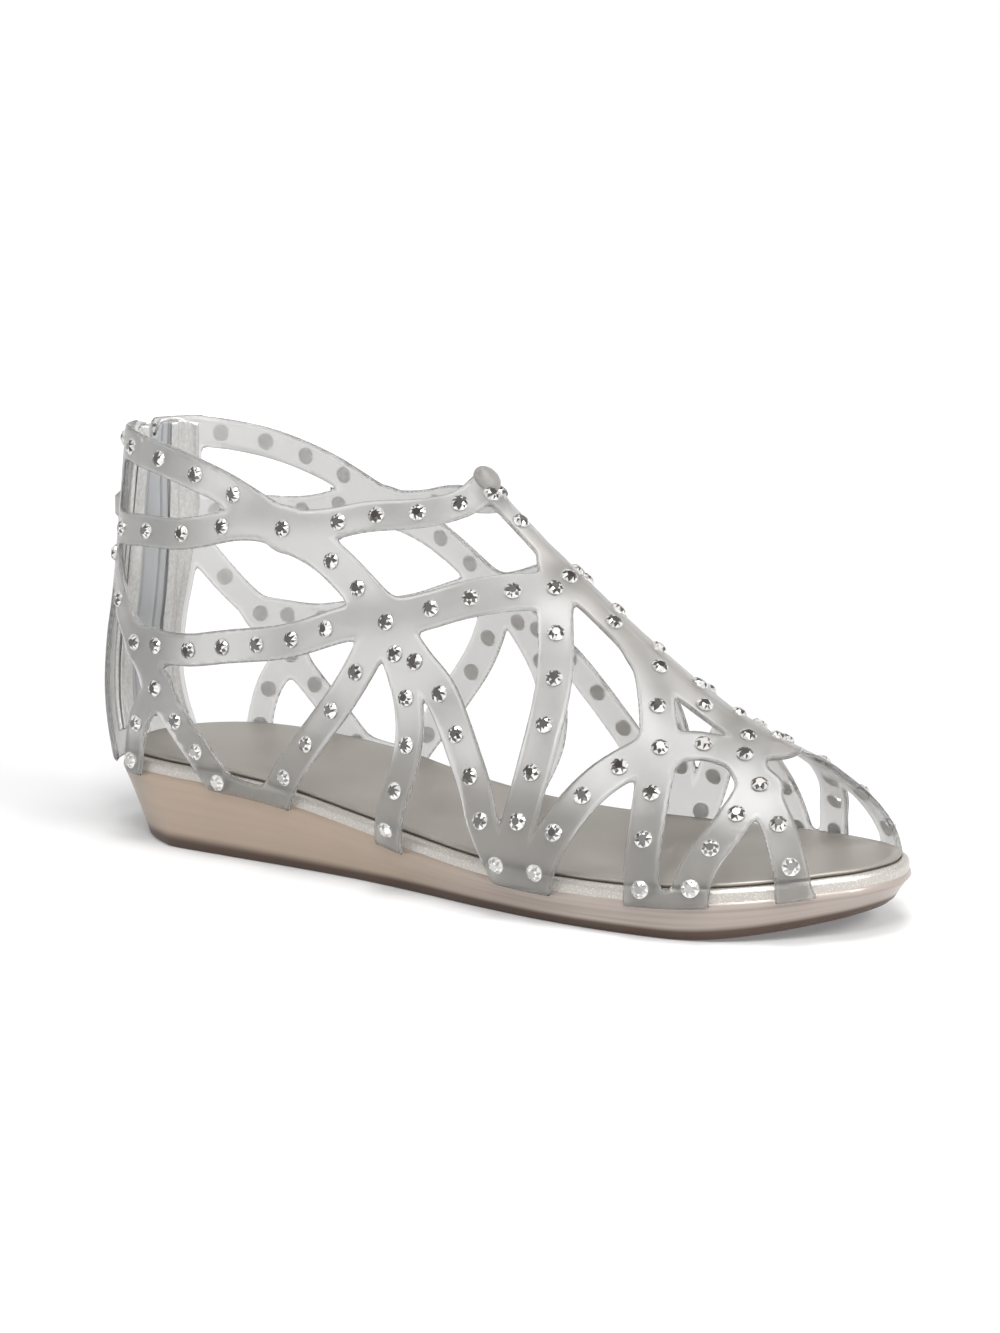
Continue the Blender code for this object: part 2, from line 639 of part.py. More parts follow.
def main():
    clear_scene()
    coll = bpy.data.collections.new("jelly_sandal")
    bpy.context.scene.collection.children.link(coll)
    build_sole(coll)
    build_insole(coll)
    build_sock(coll)
    build_upper(coll)
    metal = build_heel(coll)
    build_slider(coll, metal)


main()
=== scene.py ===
# %% [markdown]
# # A jelly sandal in Blender
#
# The sandal is a cage of frosted, see-through plastic, moulded in one piece. Flat-back crystals are
# set along its straps. The cage stands on a silver insole and a low champagne wedge, and a zip closes
# the heel. This script loads the packed model as its frame and dresses it, piece by piece.

import bpy
import numpy as np
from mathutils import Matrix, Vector


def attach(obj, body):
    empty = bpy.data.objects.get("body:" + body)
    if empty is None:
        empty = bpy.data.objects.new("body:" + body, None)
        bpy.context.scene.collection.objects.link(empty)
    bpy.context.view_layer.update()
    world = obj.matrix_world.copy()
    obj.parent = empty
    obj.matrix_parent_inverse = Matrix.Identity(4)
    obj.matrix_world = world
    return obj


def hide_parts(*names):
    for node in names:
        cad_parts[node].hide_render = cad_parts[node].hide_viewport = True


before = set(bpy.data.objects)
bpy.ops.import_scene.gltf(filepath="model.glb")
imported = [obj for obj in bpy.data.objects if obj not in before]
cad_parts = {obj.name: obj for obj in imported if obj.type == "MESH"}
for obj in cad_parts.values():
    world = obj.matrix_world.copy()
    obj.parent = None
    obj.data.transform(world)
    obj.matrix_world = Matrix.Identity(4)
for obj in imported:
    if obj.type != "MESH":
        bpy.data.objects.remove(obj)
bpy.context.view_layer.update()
print("nodes:", sorted(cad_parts))

# %% [markdown]
# ## Sizes
#
# All sizes are in millimetres, as a shoemaker would give them, and are turned into metres when a mesh
# is made. They are the same as in the part's source, so that each piece fits the frame.

# %% Sizes of the last
MM = 0.001
LENGTH = 250.0
INSOLE_HALF = 39.8
GIRTH_HALF = 45.0
SWING = 4.0
HEEL_SEAT = 20.5
INSTEP = 113.0
HEEL_REST = 45.0      # from the back of the girth line to the origin
ROUND_SIDE = 1.6      # how square the side of a section is
ROUND_TOP = 1.5       # how flat its ridge is
SWELL = 18.0          # height over which the side swells from the insole to the girth
HEEL_BULGE = 2.8
HEEL_TUCK = 2.5
COLLAR_LEAN = 4.5
COLLAR_TOP = 117.5    # height of the heel band above the floor
print("last:", LENGTH, "mm long, throat at", INSTEP, "mm")

# %% [markdown]
# The pieces' sizes follow. A moulder would ask for the wall first: 1.8 mm is stiff enough for a strap
# and soft enough to bend with the foot.

# %% Sizes of the pieces
WALL = 1.8            # of the moulded cage
GAP = 0.35            # between neighbouring pieces
STRAP = 9.5
STRAP_FLARE = 0.22    # extra share of the width where straps meet
FACING = 24.0
LEATHER = 1.2
TAPE_HALF = 12.5
TAPE = 0.9
ZIP_HALF = 3.6        # from the centre back to the edge of the cage
CHAIN_HALF = 2.6
CHAIN = 1.7
INSOLE = 5.0
RAND = 3.2
SOCK = 1.6
TOE_SPRING = 7.6
WEDGE_SLANT = 8.5
SIDE_SLANT = 3.0
SLIDER = 10.0
PULL = 23.0           # length below its hinge
PULL_OUT = 3.7        # from the face of the heel to its pin
PULL_HALF = 3.4
PULL_THICK = 2.9
print("strap:", STRAP, "mm wide and", WALL, "mm thick")

# %% [markdown]
# ## The last
#
# A last is the wooden or plastic foot that a shoe is made on. Every soft piece of the sandal lies on
# it, so its shape is stated once. Each row of the table is a section across the foot, given as shares
# of the named sizes. A smooth curve through each column gives the values in between.

# %% The table of sections
# round, along / LENGTH, insole / INSOLE_HALF, girth / GIRTH_HALF, centre / SWING, seat / HEEL_SEAT,
# close / INSTEP
SECTIONS = np.array([
    (0.00, 0.000, 0.000, 0.000, 0.00, 1.000, 1.90),
    (0.06, 0.018, 0.377, 0.367, 0.00, 1.000, 1.89),
    (0.12, 0.066, 0.636, 0.611, 0.00, 1.000, 1.86),
    (0.18, 0.128, 0.744, 0.718, 0.00, 1.000, 1.80),
    (0.26, 0.218, 0.764, 0.756, 0.00, 0.966, 1.645),
    (0.34, 0.310, 0.754, 0.784, -0.15, 0.878, 1.407),
    (0.42, 0.400, 0.744, 0.827, -0.45, 0.712, 1.221),
    (0.50, 0.490, 0.784, 0.889, -0.72, 0.566, 1.000),
    (0.58, 0.580, 0.879, 0.964, -0.65, 0.463, 0.827),
    (0.66, 0.670, 0.970, 1.000, -0.30, 0.420, 0.668),
    (0.74, 0.760, 1.000, 0.978, 0.10, 0.429, 0.522),
    (0.82, 0.846, 0.930, 0.911, 0.35, 0.478, 0.425),
    (0.88, 0.906, 0.761, 0.778, 0.55, 0.546, 0.381),
    (0.94, 0.960, 0.503, 0.556, 0.80, 0.624, 0.327),
    (0.97, 0.986, 0.314, 0.356, 0.92, 0.654, 0.305),
    (1.00, 1.000, 0.000, 0.000, 1.00, 0.673, 0.283),
])
COLUMNS = {"along": LENGTH, "insole": INSOLE_HALF, "girth": GIRTH_HALF,
           "centre": SWING, "seat": HEEL_SEAT, "close": INSTEP}
MIRRORED = {"insole", "girth"}


def column(name, share):
    """Column of SECTIONS at a share round the side: a cubic curve through the rows (Hermite form),
    whose slope at each row comes from its neighbours. The ends continue as a mirror image."""
    knots = SECTIONS[:, 0]
    values = SECTIONS[:, 1 + list(COLUMNS).index(name)] * COLUMNS[name]
    turn = -1.0 if name in MIRRORED else 1.0
    knots = np.r_[-knots[1], knots, 2.0 - knots[-2]]
    values = np.r_[turn * values[1], values, turn * values[-2]]
    slope = np.gradient(values, knots)
    share = np.asarray(share, float)
    i = np.clip(np.searchsorted(knots, share) - 1, 0, len(knots) - 2)
    step = knots[i + 1] - knots[i]
    t = (share - knots[i]) / step
    return ((1 + 2 * t) * (1 - t) ** 2 * values[i] + t * (1 - t) ** 2 * step * slope[i]
            + t * t * (3 - 2 * t) * values[i + 1] + t * t * (t - 1) * step * slope[i + 1])


ring = np.linspace(0.0, 1.0, 401)
AROUND = np.hypot(np.diff(column("along", ring)), np.diff(column("girth", ring))).sum()
print("girth line of one side:", round(AROUND, 1), "mm")

# %% [markdown]
# The surface itself is a function of two shares. `share` runs round one side from heel to toe, and
# `over` runs from the outer foot (0) over the ridge (1) to the inner foot (2). Two shares are all that
# is needed to place a strap, a crystal or a fold on the foot.

# %% The surface of the last
TINY = 1e-12          # keeps a length from being zero in a division


def last(share, over):
    """Point on the outside of the cage. Its height rises from the seat as 1 - (1 - up)^1.5, and its
    width narrows towards the ridge. Low down it swells from the insole's edge to the girth. Near the
    ridge (1 - up) becomes the square root of (1 - up)^2 + soft^2, which rounds the ridge a little."""
    share = np.asarray(share, float)
    over = np.asarray(over, float)
    side = np.where(over <= 1.0, -1.0, 1.0)
    up = 1.0 - np.abs(1.0 - over)
    rise = 1.0 - np.abs(1.0 - up) ** ROUND_TOP
    soft = 0.035 + 0.085 * np.exp(-((share - 0.52) / 0.035) ** 2)
    crest = (1.0 - ((1.0 - up) ** 2 + soft ** 2) ** (ROUND_TOP / 2.0)
             + soft ** ROUND_TOP * np.clip(up, 0.0, 1.0))
    along = column("along", share)
    insole = column("insole", share)
    girth = column("girth", share)
    seat = column("seat", share)
    z = seat + (column("close", share) - seat) * crest
    narrow = (1.0 - np.clip(rise, 0.0, 1.0) ** ROUND_SIDE) ** (1.0 / 1.5)
    low = np.clip(1.0 - (z - seat) / SWELL, 0.0, 1.0) ** 2
    d = 0.004
    turn = ((column("insole", share + d) - column("insole", share - d))
            / np.maximum(column("along", share + d) - column("along", share - d), 0.05))
    slant = np.minimum(np.hypot(1.0, turn), np.where(share < 0.5, 1.05, 1.5))
    foot = insole + (WALL + 1.8 * GAP) * slant * np.clip(insole / (0.2 * INSOLE_HALF), 0.0, 1.0)
    half = girth * narrow + (foot - girth) * low
    leaning = np.clip(2.0 * z / COLLAR_TOP - 1.0, 0.0, 1.2)
    bulging = np.exp(-((z - 2.1 * HEEL_SEAT) / (0.17 * COLLAR_TOP)) ** 2)
    lean = COLLAR_LEAN * leaning - HEEL_BULGE * bulging + HEEL_TUCK * low
    x = along + lean * np.clip(1.0 - along / (0.24 * LENGTH), 0.0, 1.0)
    return np.stack([x, column("centre", share) + side * half, z], -1)


def slopes(share, over):
    """Millimetres moved for a unit of each share, from points a little to each side."""
    d = 1e-4
    return ((last(share + d, over) - last(share - d, over)) / (2 * d),
            (last(share, over + d) - last(share, over - d)) / (2 * d))


def outward(share, over):
    """Unit normal, from the cross product of the two slopes."""
    around, up = slopes(np.asarray(share, float), np.asarray(over, float))
    n = np.cross(around, up)
    return n / np.maximum(np.linalg.norm(n, axis=-1, keepdims=True), TINY)


def layer(share, over, depth):
    """Point at a depth under the outside of the cage."""
    return last(share, over) - outward(share, over) * np.asarray(depth)[..., None]


def height_share(height):
    """Share up the centre back at which the surface reaches a height: the height's formula turned
    round, 1 - (1 - rise)^(1 / 1.5)."""
    seat = column("seat", 0.0)
    return 1.0 - (1.0 - (height - seat) / (column("close", 0.0) - seat)) ** (2.0 / 3.0)


print("collar at share", round(float(height_share(COLLAR_TOP)), 3), "up the heel")

# %% [markdown]
# ## Making meshes from arrays
#
# A piece is an array of points and an array of faces. Both go to Blender in one call each, which is
# much faster than a loop. What varies over a surface, such as the distance to an edge, is kept on its
# points as an attribute, and the material reads it.

# %% From arrays to a piece
def grid_faces(rows, cols, closed=False):
    """Quads of a grid of points, rows by cols; closed joins the last column to the first."""
    i, j = np.meshgrid(np.arange(rows - 1), np.arange(cols if closed else cols - 1), indexing="ij")
    k = (j + 1) % cols
    return np.stack([i * cols + j, i * cols + k, (i + 1) * cols + k, (i + 1) * cols + j], -1).reshape(-1, 4)


def make_piece(name, points, faces, mat, body="shoe", smooth=True, **values):
    """Mesh object from points in millimetres; each extra array becomes a point attribute."""
    mesh = bpy.data.meshes.new(name)
    placed = (np.asarray(points, float).reshape(-1, 3) - (HEEL_REST, 0.0, 0.0)) * MM
    mesh.from_pydata(placed.tolist(), [], faces if isinstance(faces, list) else faces.tolist())
    mesh.polygons.foreach_set("use_smooth", np.full(len(mesh.polygons), smooth))
    for key, value in values.items():
        attribute = mesh.attributes.new(key, "FLOAT", "POINT")
        attribute.data.foreach_set("value", np.asarray(value, np.float32).ravel())
    mesh.materials.append(mat)
    obj = bpy.data.objects.new(name, mesh)
    bpy.context.scene.collection.objects.link(obj)
    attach(obj, body)
    print(f"{name}: {len(placed)} points, {len(mesh.polygons)} faces")
    return obj


def sheet_pair(outer, inner):
    """Points and faces of a closed plate between two grids of the same shape. The rim is walked once
    round, and each of its steps becomes one face between the two sheets."""
    rows, cols = outer.shape[:2]
    count = rows * cols
    front = grid_faces(rows, cols)
    index = np.arange(count).reshape(rows, cols)
    rim = np.r_[index[0, :], index[1:, -1], index[-1, -2::-1], index[-2:0:-1, 0]]
    ahead = np.roll(rim, -1)
    side = np.stack([ahead, rim, count + rim, count + ahead], -1)
    points = np.concatenate([outer.reshape(-1, 3), inner.reshape(-1, 3)])
    return points, np.concatenate([front, count + front[:, ::-1], side])


print("faces of a grid of 3 by 4 points:", len(grid_faces(3, 4)))

# %% [markdown]
# ## Materials as expressions
#
# A material is a small graph of nodes. Python can write such a graph as ordinary arithmetic: the class
# below wraps a socket, and each operator adds one Math node. A reflected form, such as `__rsub__`, is
# what Python calls when the plain number stands on the left.

# %% Sockets that can be added and multiplied
class Field:
    """A number that varies over a surface: the output socket of some node."""

    def __init__(self, graph, socket):
        self.graph = graph
        self.socket = socket

    def __add__(self, other):
        return self.graph.math("ADD", self, other)

    def __radd__(self, other):
        return self.graph.math("ADD", other, self)

    def __sub__(self, other):
        return self.graph.math("SUBTRACT", self, other)

    def __rsub__(self, other):
        return self.graph.math("SUBTRACT", other, self)

    def __mul__(self, other):
        return self.graph.math("MULTIPLY", self, other)

    def __rmul__(self, other):
        return self.graph.math("MULTIPLY", other, self)

    def __truediv__(self, other):
        return self.graph.math("DIVIDE", self, other)


# %% [markdown]
# The second class holds the graph itself. It adds a node of any type with its settings and inputs, and
# has a few short names for what nearly every material needs: a smooth step, a blend of two colours, a
# noise and a relief. All patterns read Object coordinates or an attribute, so they stay on the piece.

# %% The graph of one material
class Graph:
    """The nodes of one material or world. Settings are the fixed inputs of its shader."""

    def __init__(self, owner, shader, settings):
        owner.use_nodes = True
        self.owner = owner
        self.tree = owner.node_tree
        self.shader = self.tree.nodes[shader]
        for key, value in settings.items():
            self.shader.inputs[key.replace("_", " ")].default_value = value

    def node(self, kind, settings=(), inputs=(), output=0):
        """Adds a node, sets its settings and inputs by name, and returns one output as a field."""
        made = self.tree.nodes.new(kind)
        for key, value in dict(settings).items():
            setattr(made, key, value)
        for key, value in dict(inputs).items():
            if isinstance(value, Field):
                self.tree.links.new(value.socket, made.inputs[key])
            else:
                made.inputs[key].default_value = value
        return Field(self, made.outputs[output])

    def math(self, operation, *values):
        return self.node("ShaderNodeMath", {"operation": operation}, dict(enumerate(values)))

    def ramp(self, value, low, high):
        """Smooth step: 0 below low, 1 above high."""
        return self.node("ShaderNodeMapRange", {"interpolation_type": "SMOOTHSTEP"},
                         {"Value": value, "From Min": low, "From Max": high})

    def mix(self, factor, first, second):
        """Blend of two colours, each a field or three numbers."""
        ends = [colour if isinstance(colour, Field) else (*colour, 1.0) for colour in (first, second)]
        inputs = {0: factor, 6: ends[0], 7: ends[1]}
        return self.node("ShaderNodeMix", {"data_type": "RGBA"}, inputs, output=2)

    def value(self, name):
        """A point attribute of the mesh."""
        return self.node("ShaderNodeAttribute", {"attribute_name": name}, output=2)

    def place(self, scale=(1.0, 1.0, 1.0)):
        """Object coordinates, stretched."""
        where = self.node("ShaderNodeTexCoord", output=3)
        return self.node("ShaderNodeMapping", (), {"Vector": where, "Scale": scale})

    def noise(self, scale, detail=3.0, stretch=(1.0, 1.0, 1.0)):
        """Soft random field; scale is in waves to the metre."""
        where = self.place(stretch)
        return self.node("ShaderNodeTexNoise", (), {"Vector": where, "Scale": scale, "Detail": detail})

    def bump(self, height, distance, strength=1.0):
        """Relief of a height field; distance is in metres."""
        made = self.node("ShaderNodeBump", (), {"Height": height, "Distance": distance, "Strength": strength})
        self.tree.links.new(made.socket, self.shader.inputs["Normal"])

    def feed(self, name, value):
        """Leads a field into an input of the shader."""
        self.tree.links.new(value.socket, self.shader.inputs[name])


def surface(name, **settings):
    """A new material with its Principled shader."""
    return Graph(bpy.data.materials.new(name), "Principled BSDF", settings)


print("material methods:", [name for name in vars(Graph) if not name.startswith("_")])

# %% [markdown]
# ### Frosted jelly
#
# The cage is clear soft plastic with a frosted skin. It scatters light, so what lies behind a strap
# shows only as a paler shade. A rough, half-clear surface on both walls gives that. The rounded edge of
# a strap is polished by the mould, so it is glossier. Its colour there is painted a little darker, as
# painted shade for the dark outline of the clear edge, and a pale line beside it is a painted highlight.
# The attribute `edge` holds the distance to the edge in millimetres. `warm` tints the ridge, where the
# plastic in the photograph is a little yellow.

# %% Jelly material
# A `brighter` factor above 1 paints the milky tints lighter, as painted light.
def frosted(name, brighter=1.0):
    """Frosted plastic: clear and glossy at its edge, milky inside it, warmer where `warm` is high. Its
    edge is painted darker as painted shade, with a painted highlight line beside it.
    """
    look = surface(name, IOR=1.30, Transmission_Weight=0.92, Coat_Weight=0.25, Coat_Roughness=0.30)
    edge = look.value("edge")
    inside_edge = look.ramp(edge, 0.0, 0.45)
    # Painted highlight: a pale line from about 0.5 to 1.2 mm in from the edge.
    painted_highlight_line = look.ramp(edge, 0.45, 0.75) - look.ramp(edge, 0.85, 1.25)
    cloud = look.noise(45.0, 2.0)
    tints = [tuple(brighter * c for c in tint) for tint in ((0.61, 0.605, 0.595), (0.68, 0.675, 0.665))]
    milky = look.mix(cloud, *tints)
    milky = look.mix(look.value("warm"), milky, (0.60, 0.555, 0.515))
    milky = look.mix(0.6 * painted_highlight_line, milky, (0.84, 0.84, 0.83))
    # Painted shade: the edge is a darker grey than the milky inside.
    look.feed("Base Color", look.mix(inside_edge, (0.56, 0.555, 0.55), milky))
    look.feed("Roughness", 0.18 + inside_edge * (0.09 + 0.08 * cloud))
    look.bump(look.noise(900.0, 2.0), 0.00006, 0.5)
    return look


jelly = frosted("jelly_frosted")
# Painted light: the knob is the same jelly, with its milky tints painted 1.25 times lighter.
knob_painted_lighter_look = frosted("jelly_knob_painted_lighter", 1.25)
print("jelly nodes:", len(jelly.tree.nodes))

# %% [markdown]
# ### Metallic leather
#
# The sock is smooth leather with a thin metallic finish: half metal, with slow blotches and a fine
# grain. The rand round it is the same leather with a pebbled print, so its noise is finer and lights
# up in small glints.

# %% Leather of the sock and of the rand
sock_look = surface("sock_silver", Metallic=0.55, Roughness=0.42)
grain = sock_look.noise(1400.0, 3.0)
blotch = sock_look.noise(38.0, 3.0)
sock_look.feed("Base Color", sock_look.mix(blotch, (0.29, 0.266, 0.234), (0.41, 0.382, 0.345)))
sock_look.feed("Roughness", 0.36 + 0.10 * blotch)
sock_look.bump(grain, 0.00008, 0.6)

rand_look = surface("insole_silver", Metallic=0.65, Roughness=0.30)
pebble = rand_look.noise(2300.0, 4.0)
glints = rand_look.ramp(pebble, 0.45, 0.75)
rand_look.feed("Base Color", rand_look.mix(glints, (0.46, 0.435, 0.40), (0.66, 0.635, 0.60)))
rand_look.feed("Roughness", 0.26 + 0.18 * pebble)
rand_look.bump(pebble, 0.00014, 0.7)

print("sock and rand nodes:", len(sock_look.tree.nodes), len(rand_look.tree.nodes))

# %% [markdown]
# ### Pearly wedge
#
# The wedge is sprayed with a champagne pearl. Its foot is painted dark, as painted shade and a painted
# reflection on its curved lower edge. `rise` runs from the tread (0) to the top (1), and `ahead` from heel
# to toe. The painted dark band is a smooth step in `rise`, deeper towards the toe and made uneven by the
# mottle. The back corner of the heel is painted darker, as painted shade where the side turns away. Long
# streaks follow the side at the forefoot. They are a noise that reads the two attributes in place of
# coordinates.

# %% Material of the wedge
wedge_look = surface("wedge_champagne", Metallic=0.35, Roughness=0.36, Coat_Weight=0.15, Coat_Roughness=0.25)
rise = wedge_look.value("rise")
ahead = wedge_look.value("ahead")
mottle = wedge_look.noise(26.0, 3.0, (1.0, 1.0, 3.0))
pearl = wedge_look.mix(wedge_look.ramp(ahead, 0.38, 0.75), (0.42, 0.325, 0.25), (0.40, 0.345, 0.315))
pearl = wedge_look.mix(0.45 * mottle, pearl, (0.29, 0.245, 0.21))
lines = wedge_look.node("ShaderNodeCombineXYZ", (), {"X": 6.0 * rise, "Y": 2.2 * ahead})
streak = wedge_look.node("ShaderNodeTexNoise", (), {"Vector": lines, "Scale": 1.6, "Detail": 3.0})
strong = 0.15 + 0.45 * wedge_look.ramp(ahead, 0.40, 0.70)
pearl = wedge_look.mix(wedge_look.ramp(streak, 0.40, 0.75) * strong, pearl, (0.25, 0.205, 0.175))
# Painted shade: the back corner of the heel, where the side turns away, is darker.
corner = 1.0 - wedge_look.ramp(ahead, 0.02, 0.14)
pearl = wedge_look.mix(0.75 * corner, pearl, (0.20, 0.185, 0.17))
# Painted shade and reflection: a dark band along the foot, higher towards the toe.
deep = 0.10 + 0.14 * wedge_look.ramp(ahead, 0.30, 0.62)
painted_shade_band = wedge_look.ramp(rise + 0.05 * (mottle - 0.5) - deep, 0.0, 0.17)
wedge_look.feed("Base Color", wedge_look.mix(painted_shade_band, (0.08, 0.050, 0.036), pearl))
wedge_look.feed("Roughness", 0.46 - 0.12 * painted_shade_band)
wedge_look.bump(wedge_look.noise(700.0, 2.0), 0.00005, 0.4)

print("wedge nodes:", len(wedge_look.tree.nodes))

# %% [markdown]
# ### Materials of the heel
#
# The facings are crinkled silver leather: one noise gives the colour, the gloss and the relief, so that
# each crease is dull as well as deep, and darker as painted shade. The tape is woven, which is the product
# of two sine waves, one across it and one up it; its pleats are painted darker as painted shade. The
# teeth, the slider and the pull are nickel, worn in spots.

# %% Crinkled leather, woven tape and nickel
facing_look = surface("facing_silver", Metallic=0.5, Roughness=0.42)
crinkle = facing_look.noise(1500.0, 5.0, (1.0, 1.0, 0.6))
# Painted shade: the creases of the relief are a darker grey.
painted_crease_shade = facing_look.ramp(crinkle, 0.30, 0.72)
facing_look.feed("Base Color", facing_look.mix(painted_crease_shade, (0.48, 0.475, 0.465), (0.60, 0.595, 0.58)))
facing_look.feed("Roughness", 0.30 + 0.18 * crinkle)
facing_look.bump(crinkle, 0.00018, 0.8)

tape_look = surface("zip_tape_grey", Roughness=0.82)
rib = tape_look.math("SINE", tape_look.value("across") * 9.0)
weft = tape_look.math("SINE", tape_look.value("up") * 7.0)
weave = rib * weft
cloth = tape_look.mix(0.5 + 0.5 * weave, (0.33, 0.336, 0.345), (0.39, 0.396, 0.405))
# Painted shade: the tape is darkened along its pleats.
tape_look.feed("Base Color", tape_look.mix(tape_look.value("fold"), cloth, (0.24, 0.245, 0.25)))
tape_look.bump(weave, 0.00008, 0.6)

metal_look = surface("zip_metal", Metallic=0.9, Roughness=0.3)
worn = metal_look.noise(300.0, 3.0)
metal_look.feed("Base Color", metal_look.mix(worn, (0.30, 0.29, 0.28), (0.55, 0.54, 0.53)))
metal_look.feed("Roughness", 0.22 + 0.2 * worn)

print("heel nodes:", len(facing_look.tree.nodes), len(tape_look.tree.nodes), len(metal_look.tree.nodes))

# %% [markdown]
# ### Crystal and foil
#
# Glass on a foil throws light back from facets that face a lamp and looks nearly black in the others.
# These reflections are painted: each facet has a painted brightness of its own, kept in the attribute
# `facet`. The foil itself is seen only from behind, through the jelly, as a grey dot.

# %% Facets and foil
crystal_look = surface("crystal_facets", Metallic=0.75, Roughness=0.07, Coat_Weight=0.6, Coat_Roughness=0.03)
# Painted reflections: with `facet`, each facet's colour runs from nearly black to nearly white.
facet = crystal_look.value("facet")
crystal_look.feed("Base Color", crystal_look.mix(facet, (0.04, 0.032, 0.028), (0.90, 0.89, 0.87)))

foil_look = surface("crystal_foil", Metallic=0.5, Roughness=0.5)
foil_look.feed("Base Color", foil_look.mix(foil_look.noise(500.0), (0.88, 0.87, 0.86), (0.97, 0.96, 0.95)))
print("materials:", len(bpy.data.materials))

# %% [markdown]
# ## The straps
#
# The straps are drawn on the last as lines through a few named points. Each point is a pair of shares:
# round the side, and up to the ridge. The outer side is stated, and the inner side is its mirror image,
# as it is on the real mould.

# %% Named points
POINTS = {
    "collar_back": (0.035, 0.352),
    "collar_cross": (0.332, 0.396),
    "band_middle": (0.050, 0.250),
    "heel_join": (0.155, 0.140),
    "heel_fork": (0.190, 0.098),
    "heel_foot": (0.132, -0.020),
    "waist_foot_back": (0.290, -0.015),
    "waist_foot_front": (0.326, -0.015),
    "hub": (0.466, 0.405),
    "arch_foot": (0.475, -0.020),
    "ball_foot_back": (0.636, -0.020),
    "ball_foot_front": (0.655, -0.020),
    "tongue": (0.521, 1.000),
    "instep_side": (0.610, 0.868),
    "instep": (0.610, 1.000),
    "vamp_side": (0.703, 0.950),
    "vamp_low": (0.750, 0.625),
    "side_foot": (0.776, -0.020),
    "toe_hub": (0.816, 1.000),
    "toe_hub_side": (0.820, 0.800),
    "toe_fork": (0.850, 0.665),
    "toe_foot_back": (0.819, -0.020),
    "toe_foot_front": (0.920, -0.020),
}

print("named points:", len(POINTS))

# %% [markdown]
# A strap is a line through its points, with a width at both ends as shares of `STRAP`. Its crystals are
# given as how many there are, and where the first and the last one lie as shares of its length.

# %% The straps of one side
STRAPS = {
    "collar": (("collar_back", (0.170, 0.358), (0.255, 0.372), "collar_cross"), 0.95, 1.00, (5, 0.04, 0.76)),
    "ankle_back": (("band_middle", (0.133, 0.262), (0.225, 0.293), "collar_cross"),
                   1.00, 0.90, (4, 0.17, 0.73)),
    "ankle_front": (("collar_cross", (0.400, 0.497), (0.466, 0.650), (0.509, 0.820), "tongue"),
                    0.95, 0.85, (4, 0.28, 0.82)),
    "side": (("collar_cross", (0.390, 0.414), "hub"), 1.05, 1.15, (2, 0.43, 0.70)),
    "heel": (("band_middle", (0.110, 0.180), "heel_join", "heel_fork"), 0.85, 1.00, (4, 0.17, 1.00)),
    "heel_back": (("heel_fork", (0.162, 0.056), "heel_foot"), 0.85, 0.85, (2, 0.39, 0.72)),
    "heel_front": (("heel_fork", (0.235, 0.048), "waist_foot_back"), 0.90, 1.00, (3, 0.27, 0.78)),
    "middle_back": (("heel_join", (0.245, 0.160), (0.355, 0.247), "hub"), 0.95, 1.05, (6, 0.10, 0.78)),
    "middle_front": (("hub", (0.520, 0.540), (0.573, 0.712), "instep_side", "instep"),
                     1.05, 1.25, (4, 0.24, 0.84)),
    "waist": (("hub", (0.420, 0.205), "waist_foot_front"), 1.05, 1.00, (4, 0.23, 0.79)),
    "arch": (("hub", (0.504, 0.295), (0.507, 0.170), "arch_foot"), 0.95, 0.95, (5, 0.13, 0.85)),
    "ball_back": (("hub", (0.505, 0.385), (0.543, 0.355), (0.587, 0.235), (0.607, 0.140), "ball_foot_back"),
                  1.05, 1.00, (6, 0.17, 0.89)),
    "ball_front": (("instep_side", (0.642, 0.605), (0.648, 0.315), "ball_foot_back"),
                   1.00, 1.05, (5, 0.16, 0.76)),
    "vamp_down": (("vamp_side", (0.730, 0.775), "vamp_low"), 1.05, 1.00, (2, 0.55, 1.00)),
    "vamp_back": (("vamp_low", (0.705, 0.360), "ball_foot_front"), 1.00, 1.05, (4, 0.21, 0.85)),
    "vamp_foot": (("vamp_low", (0.765, 0.330), "side_foot"), 1.00, 1.00, (3, 0.30, 0.87)),
    "vamp_front": (("vamp_low", (0.783, 0.745), "toe_hub_side"), 0.95, 1.00, (2, 0.51, 1.00)),
    "toe_over": (("toe_hub", "toe_hub_side", "toe_fork"), 1.10, 0.95, (1, 1.00, 1.00)),
    "toe_back": (("toe_fork", (0.840, 0.400), (0.826, 0.200), "toe_foot_back"),
                 0.95, 1.00, (3, 0.27, 0.84)),
    "toe_front": (("toe_fork", (0.888, 0.450), (0.911, 0.215), "toe_foot_front"),
                  0.90, 0.95, (2, 0.38, 0.72)),
}
print("straps on each side:", len(STRAPS))

# %% [markdown]
# Some forms belong to both sides. The ridge is three wider straps along the top of the foot. A web is a
# low bridge between two feet of straps, from one share round to another and up to a height. The heel
# bands are bounded by a table, as seen from behind: the height as a share of `COLLAR_TOP`, and the
# widths of the facing and of the cage's band as shares of `FACING`.

# %% Ridge, webs and heel bands
RIDGE = (
    (((0.522, 1.0), (0.561, 1.0), (0.612, 1.0)), 0.85, 0.95),
    (((0.605, 1.0), (0.655, 1.0), (0.705, 1.0)), 1.45, 1.60),
    (((0.700, 1.0), (0.761, 1.0), (0.822, 1.0)), 1.60, 1.70),
)
WEBS = ((0.282, 0.334, 0.022), (0.628, 0.664, 0.050), (0.770, 0.826, 0.075))
KNOB = (0.518, 1.0)
KNOB_RADIUS = 2.8
HEEL = np.array([(0.17, 0.783, 0.883), (0.38, 0.708, 0.817), (0.53, 0.758, 0.883),
                 (0.66, 0.867, 0.975), (0.78, 0.983, 1.025), (1.00, 0.996, 1.038)])
FACING_EDGE, BAND_EDGE = 1, 2


